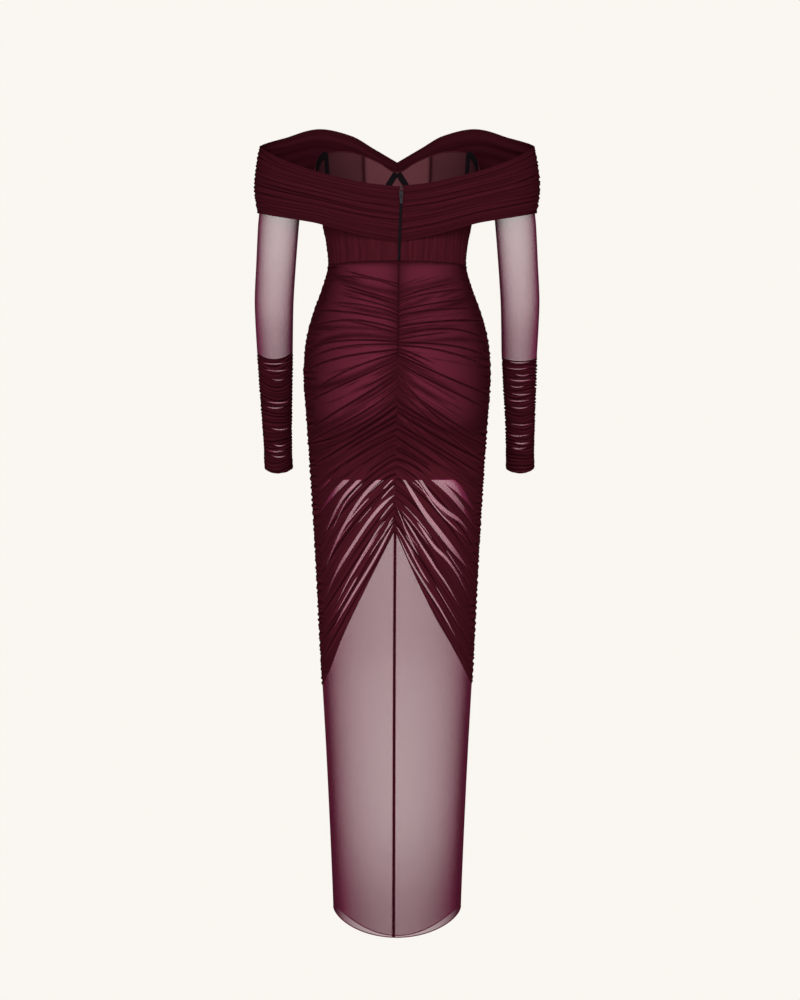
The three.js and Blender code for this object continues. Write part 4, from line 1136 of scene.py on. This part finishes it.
# A quarter of the band, from its middle seam to the arm, with soft creases lying around it, painted shade
# in them and a painted highlight on their rolls
def makeBand(place, side, seed):
    isBack = place.startswith("back")
    down = np.linspace(0, 1, bandLook["rows"])[:, None]
    share = np.linspace(0, 1, bandLook["backColumns" if isBack else "frontColumns"])[None, :]
    if isBack:
        z = zipTop + (zipFoot - zipTop) * down
        middle = np.degrees(np.arcsin((onTable(backSeamRows, z) + side * zipHalf) / bandSwellRows[0][1]))
        angle = middle + (side * 90 - middle) * share**0.9
    else:
        angle = side * (180 - 90 * share**0.8) + 0 * down
    across = down * bandLook["tall"] + 0 * share
    creases = np.array(bandLook["backCreases" if isBack else "frontCreases"], float)
    # The table's creases with uneven places and depths, and smaller ones between them
    pick = np.random.default_rng(seed)
    creases[:, :3] += pick.normal(0, 2.6, (len(creases), 3))
    creases[:, 4] *= pick.uniform(0.35, 1.2, len(creases))
    creases[:, 3] = np.minimum(creases[:, 3], 0.94)
    small = 1.0 if isBack else 0.4
    fine = smallCreases(seed + 1, 8, 106, 3.4, (0.12, 0.4), (0.2, 0.7), (0.6, 1.0), 5, (0.01, 0.85))
    atSeam = smallCreases(seed + 3, 6, 106, 4.5, (0.06, 0.25), (0.5, 1.2), (0.8, 1.1), 3)
    atArm = smallCreases(300 + side, 4, 106, 5.5, (0.1, 0.34), (1.2, 2.6), (1.1, 1.6), 3)
    wide = smallCreases(seed + 5, 14, 100, 12, (0.5, 0.94), (1.0, 2.0), (2.5, 5), 7)
    fromArm = 1 - share + 0 * down
    relief, shadeAndSeams, highlightAndTone = addFolds([
        (across, share, creases, 0.85, 1), (across, share, fine, small * 0.7, 1),
        (across, share, atSeam, small, 1), (across, fromArm, atArm, 0.8, 1), (across, share, wide, 0.45, 1),
    ])
    # Nothing at the sewn edges, and drawn in at the middle seam
    hemmed = ramp(down, 0.0, 0.06) * (1 - ramp(down, 0.97, 1))
    relief, shadeAndSeams, highlightAndTone = relief * hemmed, shadeAndSeams * hemmed, highlightAndTone * hemmed
    pinch = np.exp(-share * 18)
    relief = relief * (1 + 0.3 * pinch) * ramp(fromArm, 0, 0.02)
    if not isBack:
        relief = relief * ramp(share, 0, 0.04)
        shadeAndSeams = np.maximum(shadeAndSeams * 0.7, 0.5 * ramp(down, 0.1, 0.2))
    relief = relief - 0.8 * pinch * hemmed
    points = bandPoints(angle, down, np.clip(relief, -2.6, 3.0))
    values = {"layers": bandLook["hide"], "shadeAndSeams": shadeAndSeams, "highlightAndTone": 0.55 * highlightAndTone, "bare": 0}
    piece = gridPiece("band_" + place + "_cloth", points, meshCloth, values, thick=1.1)
    dressPiece(piece, "band_" + place)


makeBand("back_left", 1, 81)
makeBand("back_right", -1, 84)
makeBand("front_left", 1, 87)
makeBand("front_right", -1, 90)
print("band ready")

# Sleeve of the left arm: height, then across, depth and radius of the arm's middle line
armRows = [
    (104, 201.6, 3, 35.2), (88, 202.2, 3, 35), (67, 204, 4, 35), (0, 208, 6, 34),
    (-57, 211, 6, 33.5), (-95, 211.5, -4, 32.5), (-143, 212, -33, 31), (-190, 212.5, -65, 29.5),
    (-259, 213, -110, 26.5), (-312, 213, -144, 25), (-343, 213, -164, 25.5),
]
armLength = armRows[0][0] - armRows[-1][0]
sleeveLook = {
    "deeper": 1.06, "elbow": -143, "flare": 8, "flareOver": 200, "rows": 70, "columns": 56,
    # share of the arm where the cuff starts, and the share left between it and the sleeve
    "cuffFrom": 0.545, "seamGap": 0.0006,
    # height of the seam to the cuff and how much lower it hangs at the back and the front
    "seam": {1: (-143.0, 15.0), -1: (-153.0, 8.0)},
}


# Ring around the arm, square to the way the arm runs, from share 0 inside the band to 1 at the hand
def armPoints(share, side, turn, out):
    z = armRows[0][0] + (armRows[-1][0] - armRows[0][0]) * share

    def middleAt(height):
        below = np.maximum(sleeveLook["elbow"] - height, 0)
        flare = sleeveLook["flare"] * below / sleeveLook["flareOver"] if side < 0 else 0
        x = side * (onTable(armRows, height, 1) + flare)
        return np.stack(np.broadcast_arrays(x, onTable(armRows, height, 2), height), -1)

    run = middleAt(z - 4) - middleAt(z + 4)
    run = run / np.linalg.norm(run, axis=-1, keepdims=True)
    across = np.zeros_like(run) + [1.0, 0.0, 0.0]
    across = across - run * across[..., :1] * run[..., :1]
    across = across - run * (across * run).sum(-1, keepdims=True)
    across = across / np.linalg.norm(across, axis=-1, keepdims=True)
    deep = np.cross(run, across)
    radius = onTable(armRows, z, 3)
    sideways = ((radius + out) * np.cos(turn))[..., None] * across
    inward = ((radius * sleeveLook["deeper"] + out) * np.sin(turn))[..., None] * deep
    middle = middleAt(z)
    return middle + sideways + inward, middle + 0 * sideways


# Share along the arm where the cuff is sewn on, around the arm: the seam hangs level, a little
# lower at the back and the front than at the sides
def cuffSeam(side, turn):
    top, lower = sleeveLook["seam"][side]
    height = top - lower * np.abs(np.sin(turn)) ** 1.5
    share = np.full_like(turn, sleeveLook["cuffFrom"])
    for _ in range(4):
        points = armPoints(share, side, turn, 0 * turn)[0]
        share = share + (points[..., 2] - height) / armLength
    return share


# Sleeve: one smooth layer of sheer cloth around the arm, a little denser toward the cuff, with less of its
# pale tone toward the sides as painted shade
def makeSleeve(sideName, side):
    turn = np.linspace(0, 2 * math.pi, sleeveLook["columns"], endpoint=False)[None, :]
    lastShare = cuffSeam(side, turn) - sleeveLook["seamGap"]
    share = np.linspace(0, 1, sleeveLook["rows"])[:, None] * lastShare
    points, middle = armPoints(share, side, turn + 0 * share, 0 * turn)
    outward = points - middle
    aside = outward[..., 0] / np.linalg.norm(outward, axis=-1)
    values = {
        "layers": 0.9 + 0.5 * ramp(-points[..., 2], -60, 150), "shadeAndSeams": 0, "highlightAndTone": 0,
        "bare": paleWithSideShade(aside),
    }
    piece = gridPiece(
        "sleeve_" + sideName + "_cloth", points, sleeveCloth, values, around=True, thick=0.5,
        middle=middle,
    )
    dressPiece(piece, "sleeve_" + sideName)


cuffLook = {
    "rows": 205, "columns": 76, "hide": 9.0, "span": 245.0,
    # gathers around the arm: how far apart, depth and width, and how many short creases
    "pitch": 7.4, "depth": (2.6, 4.4), "width": (1.5, 2.0), "shortCreases": 70,
    # height and half the length of light gaps, in millimetres, with their middle across the arm,
    # all as seen square from the back
    "left": [
        (-167, 14, 2), (-179, 13, -2), (-195, 7, -4), (-234, 12, -2), (-243, 10, 2),
        (-280, 10, -4), (-308, 7, -3), (-318, 9, 3), (-327, 8, -1),
    ],
    "right": [
        (-165, 12, 0), (-176, 12, 3), (-187, 8, -5), (-196, 13, 0), (-207, 8, 4),
        (-220, 11, -2), (-231, 13, 2), (-243, 10, 0), (-272, 12, -2), (-291, 11, 2),
        (-304, 9, -3), (-313, 8, 2),
    ],
}


# Where a point is seen by the camera behind the dress, in the plane through the wearer's middle
def seenFromBack(points):
    nearer = cameraSpot["y"] / (cameraSpot["y"] - points[..., 1])
    x = cameraSpot["x"] + (points[..., 0] - cameraSpot["x"]) * nearer
    z = cameraSpot["z"] + (points[..., 2] - cameraSpot["z"]) * nearer
    return x, z


# Gathers of a cuff: rings that sway around the arm, and short creases between them, with painted shade in
# the creases and a painted highlight just beside each ring
def cuffFolds(turn, along, seed):
    span = cuffLook["span"]
    pick = np.random.default_rng(seed)
    sway = sum(
        pick.uniform(0.5, 1.6) * np.sin(number * turn + along / 37 + pick.uniform(0, 6.3))
        for number in (1, 2, 3)
    )
    relief, shadeAndSeams, highlightAndTone = np.zeros_like(along), np.zeros_like(along), np.zeros_like(along)
    around = turn / (2 * math.pi) + 0 * along
    for place in np.arange(4, span - 3, cuffLook["pitch"]):
        at = place + pick.uniform(-1.3, 1.3)
        depth = pick.uniform(*cuffLook["depth"])
        fade = 0.62 + 0.38 * np.sin(turn + pick.uniform(0, 6.3))
        away = (along - at - sway) / pick.uniform(*cuffLook["width"])
        relief += depth * fade * (0.28 - groove(away, 1.6)) * bell(away, 3.2)
        shadeAndSeams = np.maximum(shadeAndSeams, fade * groove(away / 0.75))
        highlightAndTone = np.maximum(highlightAndTone, fade * bell(away - 2, 1))
    for _ in range(cuffLook["shortCreases"]):
        at, center = pick.uniform(4, span - 4), pick.uniform(0, 1)
        near = np.abs((around - center + 0.5) % 1 - 0.5)
        away = (along - at - sway * 0.6) / 1.1
        line = groove(away) * bell(near, pick.uniform(0.05, 0.13))
        relief -= 0.7 * line
        shadeAndSeams = np.maximum(shadeAndSeams, 0.7 * line)
    ends = ramp(along, 0, 5) * (1 - ramp(along, span - 4, span))
    return relief * ends, shadeAndSeams * ends, highlightAndTone * ends


# Depth in millimetres of the light gaps of a cuff, below 0 outside, on its near and its far side
def cuffGaps(points, middle, sideName):
    x, height = seenFromBack(points)
    middleX, middleZ = seenFromBack(middle[:, 0])
    x = x - np.interp(height, middleZ[::-1], middleX[::-1])
    outside = -4.0
    depth = np.full_like(x, outside)
    for level, length, shift in cuffLook[sideName]:
        across = (x - shift) / (length * 1.95)
        taper = np.sqrt(np.clip(1 - across**2, 0, 1))
        away = np.abs(height - level - 3.0 * (across * 1.2) ** 2)
        depth = np.maximum(depth, np.where(np.abs(across) < 1, 2.2 * taper - 1 - away, outside))
    return depth


# Cuff: dense gathered cloth around the arm, with a few sheer gaps that let light through
def makeCuff(sideName, side, seed):
    turn = np.linspace(0, 2 * math.pi, cuffLook["columns"], endpoint=False)[None, :]
    down = np.linspace(0, 1, cuffLook["rows"])[:, None]
    start = cuffSeam(side, turn) + sleeveLook["seamGap"]
    share = start + (1 - start) * down
    turn = turn + 0 * share
    along = down * cuffLook["span"] + 0 * turn
    relief, shadeAndSeams, highlightAndTone = cuffFolds(turn, along, seed)
    points, middle = armPoints(share, side, turn, 0 * along)
    depth = cuffGaps(points, middle, sideName)
    near = np.clip(1 + depth / 3, 0, 1)
    relief = relief * (1 - 0.8 * near) + 0.6 * near
    points = armPoints(share, side, turn, np.clip(relief, -2.8, 2.4))[0]
    values = {
        "layers": cuffLook["hide"], "shadeAndSeams": shadeAndSeams * (1 - openShare(depth)), "highlightAndTone": highlightAndTone,
        "bare": 1, "few": 1.0, "gap": depth + gapEdge["added"],
    }
    piece = gridPiece(
        "cuff_" + sideName + "_cloth", points, meshCloth, values, around=True, thick=0.5, middle=middle
    )
    dressPiece(piece, "cuff_" + sideName)


makeSleeve("left", 1)
makeSleeve("right", -1)
makeCuff("left", 1, 101)
makeCuff("right", -1, 102)
print("sleeves ready")

stripLook = {"top": -372, "half": 2.5, "inside": -2.7, "rows": 160, "columns": 7, "layers": 7}


# Seam allowance inside the back seam of the sheer skirt
def makeSeamStrip():
    z = np.linspace(stripLook["top"], hemHeight(np.array(0.0)) + 0.5, stripLook["rows"])[:, None]
    shift = np.linspace(-stripLook["half"], stripLook["half"], stripLook["columns"])[None, :]
    angle = angleAlong(seamAngle(z) + 0 * shift, z + 0 * shift, shift + 0 * z)
    points = bodyPoints(angle, z + 0 * shift, stripLook["inside"])
    values = {"layers": stripLook["layers"], "shadeAndSeams": 0, "highlightAndTone": 0.3, "bare": 0}
    piece = gridPiece("back_seam_allowance", points, meshCloth, values, thick=0.7)
    dressPiece(piece, "back_seam_strip")


makeSeamStrip()

rollLook = {"radius": 0.9, "above": 0.4, "inside": -0.7, "steps": 300, "sides": 8}
rollCloth = makeCloth("rolled hem", {
    **liningLook, "cloth": linear(84, 30, 44), "creaseShadeColor": linear(50, 12, 22), "pitch": 0.0008,
    "weave": 0.12,
})


# Narrow rolled hem: a thin tube of the same cloth along the lower edge of the skirt
def makeHemRoll():
    angle = np.linspace(-180, 180, rollLook["steps"])
    line = bodyPoints(angle, hemHeight(angle) + rollLook["above"], rollLook["inside"])
    piece = tubePiece("skirt_hem_roll", line, rollLook["radius"], rollCloth, sides=rollLook["sides"])
    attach(piece, "dress")


makeHemRoll()
print("hems ready")

# Flat cuts of the sheets, in metres: sheet, cut width and length, area, how held, what it lies on
# and the pieces sewn to it. A row with {side} stands for the left and the right one.
skirtLining = ["lining_back_left_cloth", "lining_back_right_cloth", "lining_front_cloth"]
cuts = [
    ("skirt_back_left", (0.24, 1.36), 0.285, "gathered", skirtLining, ["back_seam_allowance"]),
    ("skirt_back_right", (0.24, 1.36), 0.285, "gathered", skirtLining, []),
    ("skirt_front", (0.46, 1.38), 0.540, "gathered", skirtLining, ["skirt_hem_roll"]),
    ("lining_back_{side}", (0.23, 0.366), 0.075, "hung", ["corset_back_{side}_cloth"], []),
    ("lining_front", (0.44, 0.366), 0.141, "hung", ["corset_front_center_cloth"], []),
    ("bodice_back_{side}", (0.185, 0.151), 0.0188, "stretched", ["corset_back_{side}_cloth"], []),
    ("bodice_front", (0.44, 0.200), 0.072, "stretched", ["corset_front_center_cloth"], []),
    ("corset_back_left", (0.165, 0.149), 0.017, "stretched", ["bodice_back_left_cloth"], []),
    (
        "corset_cup_left", (0.200, 0.212), 0.029, "stretched", ["bodice_front_cloth"],
        ["cup_binding_left_roll", "tape_center_left_ribbon", "tape_side_left_ribbon"],
    ),
    ("corset_back_right", (0.165, 0.149), 0.017, "stretched", ["bodice_back_right_cloth"], []),
    (
        "corset_cup_right", (0.200, 0.212), 0.029, "stretched", ["bodice_front_cloth"],
        ["cup_binding_right_roll", "tape_center_right_ribbon", "tape_side_right_ribbon"],
    ),
    ("corset_front_center", (0.125, 0.207), 0.0205, "stretched", ["bodice_front_cloth"], []),
    ("band_back_{side}", (0.32, 0.140), 0.0435, "gathered", ["bodice_back_{side}_cloth"], []),
    ("band_front_{side}", (0.31, 0.165), 0.0505, "gathered", ["bodice_front_cloth"], []),
    ("sleeve_{side}", (0.215, 0.265), 0.056, "hung", ["band_back_{side}_cloth"], []),
    ("cuff_{side}", (0.18, 0.36), 0.062, "gathered", ["sleeve_{side}_cloth"], []),
]
for name, flat, area, held, under, sewn in cuts:
    for side in ("left", "right") if "{side}" in name else ("",):
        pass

zipLook = {
    "wide": 4.4, "top": 116.5, "bottom": 1.2, "coil": 1.35, "over": 0.6, "rows": 420, "columns": 11,
}


# Depth of the back under the zip: the bodice's below the band, the band's on it
def zipSurface(z):
    overBand = onTable(bandSwellRows, (zipTop - z) / (zipTop - zipFoot), 2)
    overBodice = onTable(bodyRows, z, 2)
    return overBodice + (overBand - overBodice) * ramp(z, zipFoot - 9, zipFoot)


# Zip: a tape with two raised rows of coil, the teeth of one between those of the other
def makeZip():
    z = np.linspace(zipLook["top"], zipLook["bottom"], zipLook["rows"])[:, None]
    shift = np.linspace(-0.5, 0.5, zipLook["columns"])[None, :] * zipLook["wide"]
    phase = np.where(shift > 0, 0.5, 0.0)
    tooth = np.abs(np.sin(math.pi * (z / zipLook["coil"] + phase))) ** 0.7
    inCoil = np.exp(-(((np.abs(shift) - 0.75) / 0.55) ** 4))
    out = zipLook["over"] * (0.25 + 0.75 * tooth) * inCoil
    x, y = onTable(backSeamRows, z) + shift, zipSurface(z) + out
    points = np.stack(np.broadcast_arrays(x, y, z + 0 * shift), -1)
    piece = gridPiece("zip_tape_and_coil", points, tapeCloth, thick=1.1)
    dressPiece(piece, "zip_chain")


makeZip()
# Metal of the slider, the pull tab, the hook and the eye, which stay CAD nodes
for name in ("zip_slider", "zip_pull_tab", "zip_eye", "zip_hook"):
    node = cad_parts[name]
    node.data.materials.clear()
    node.data.materials.append(nickel)

# Stage: pale floor, and the same pale tone all around
paper = (0.956, 0.922, 0.880, 1)
floorLook = {"half": 9, "height": -1.25}


# Material that shows one even tone whatever the lamps do
def plainGlow(name, strength):
    material = bpy.data.materials.new(name)
    material.use_nodes = True
    tree = material.node_tree
    tree.nodes.clear()
    glow = tree.nodes.new("ShaderNodeEmission")
    glow.inputs["Color"].default_value = paper
    glow.inputs["Strength"].default_value = strength
    out = tree.nodes.new("ShaderNodeOutputMaterial")
    tree.links.new(glow.outputs[0], out.inputs["Surface"])
    return material


floorMesh = bpy.data.meshes.new("floor")
floorCorners = [
    (x * floorLook["half"], y * floorLook["half"], floorLook["height"])
    for x, y in ((-1, -1), (1, -1), (1, 1), (-1, 1))
]
floorMesh.from_pydata(floorCorners, [], [(0, 1, 2, 3)])
floorMesh.materials.append(plainGlow("pale floor", 1.0))
addObject("floor", floorMesh)

# World: the camera sees the paper's tone, and the cloth gets only a soft light from all around
world = bpy.data.worlds.new("studio")
bpy.context.scene.world = world
world.use_nodes = True
sky = world.node_tree
sky.nodes.clear()
seen = sky.nodes.new("ShaderNodeBackground")
seen.inputs["Color"].default_value = paper
seen.inputs["Strength"].default_value = 1.0
soft = sky.nodes.new("ShaderNodeBackground")
soft.inputs["Color"].default_value = (1, 0.98, 0.97, 1)
soft.inputs["Strength"].default_value = 0.14
path = sky.nodes.new("ShaderNodeLightPath")
choose = sky.nodes.new("ShaderNodeMixShader")
out = sky.nodes.new("ShaderNodeOutputWorld")
sky.links.new(path.outputs["Is Camera Ray"], choose.inputs[0])
sky.links.new(soft.outputs[0], choose.inputs[1])
sky.links.new(seen.outputs[0], choose.inputs[2])
sky.links.new(choose.outputs[0], out.inputs["Surface"])

# Lights: name, place, size, power, all turned toward one point on the dress
lampAim = np.array([0, 0, -0.35])
lamps = [
    ("key", (-0.6, 3.55, 0.9), 1.6, 86), ("fill", (0.9, 3.4, 0.3), 1.6, 62),
    ("front key", (0.6, -3.55, 0.9), 1.6, 76), ("front fill", (-0.9, -3.4, 0.3), 1.6, 58),
    ("top", (0, 0.3, 2.6), 1.5, 12),
]
for name, place, size, power in lamps:
    data = bpy.data.lights.new(name, "AREA")
    data.size = size
    data.energy = power
    lamp = addObject(name, data)
    lamp.location = place
    toward = Vector(lampAim - np.array(place))
    lamp.rotation_euler = toward.to_track_quat("-Z", "Y").to_euler()

camera = addObject("camera", bpy.data.cameras.new("camera"))
camera.location = [cameraSpot[axis] * mm for axis in "xyz"]
camera.rotation_euler = (math.pi / 2, 0, math.pi)
camera.data.lens = 75.35
camera.data.sensor_width = 36
bpy.context.scene.camera = camera
bpy.context.scene.view_settings.view_transform = "Standard"
bpy.context.scene.cycles.transparent_max_bounces = 32
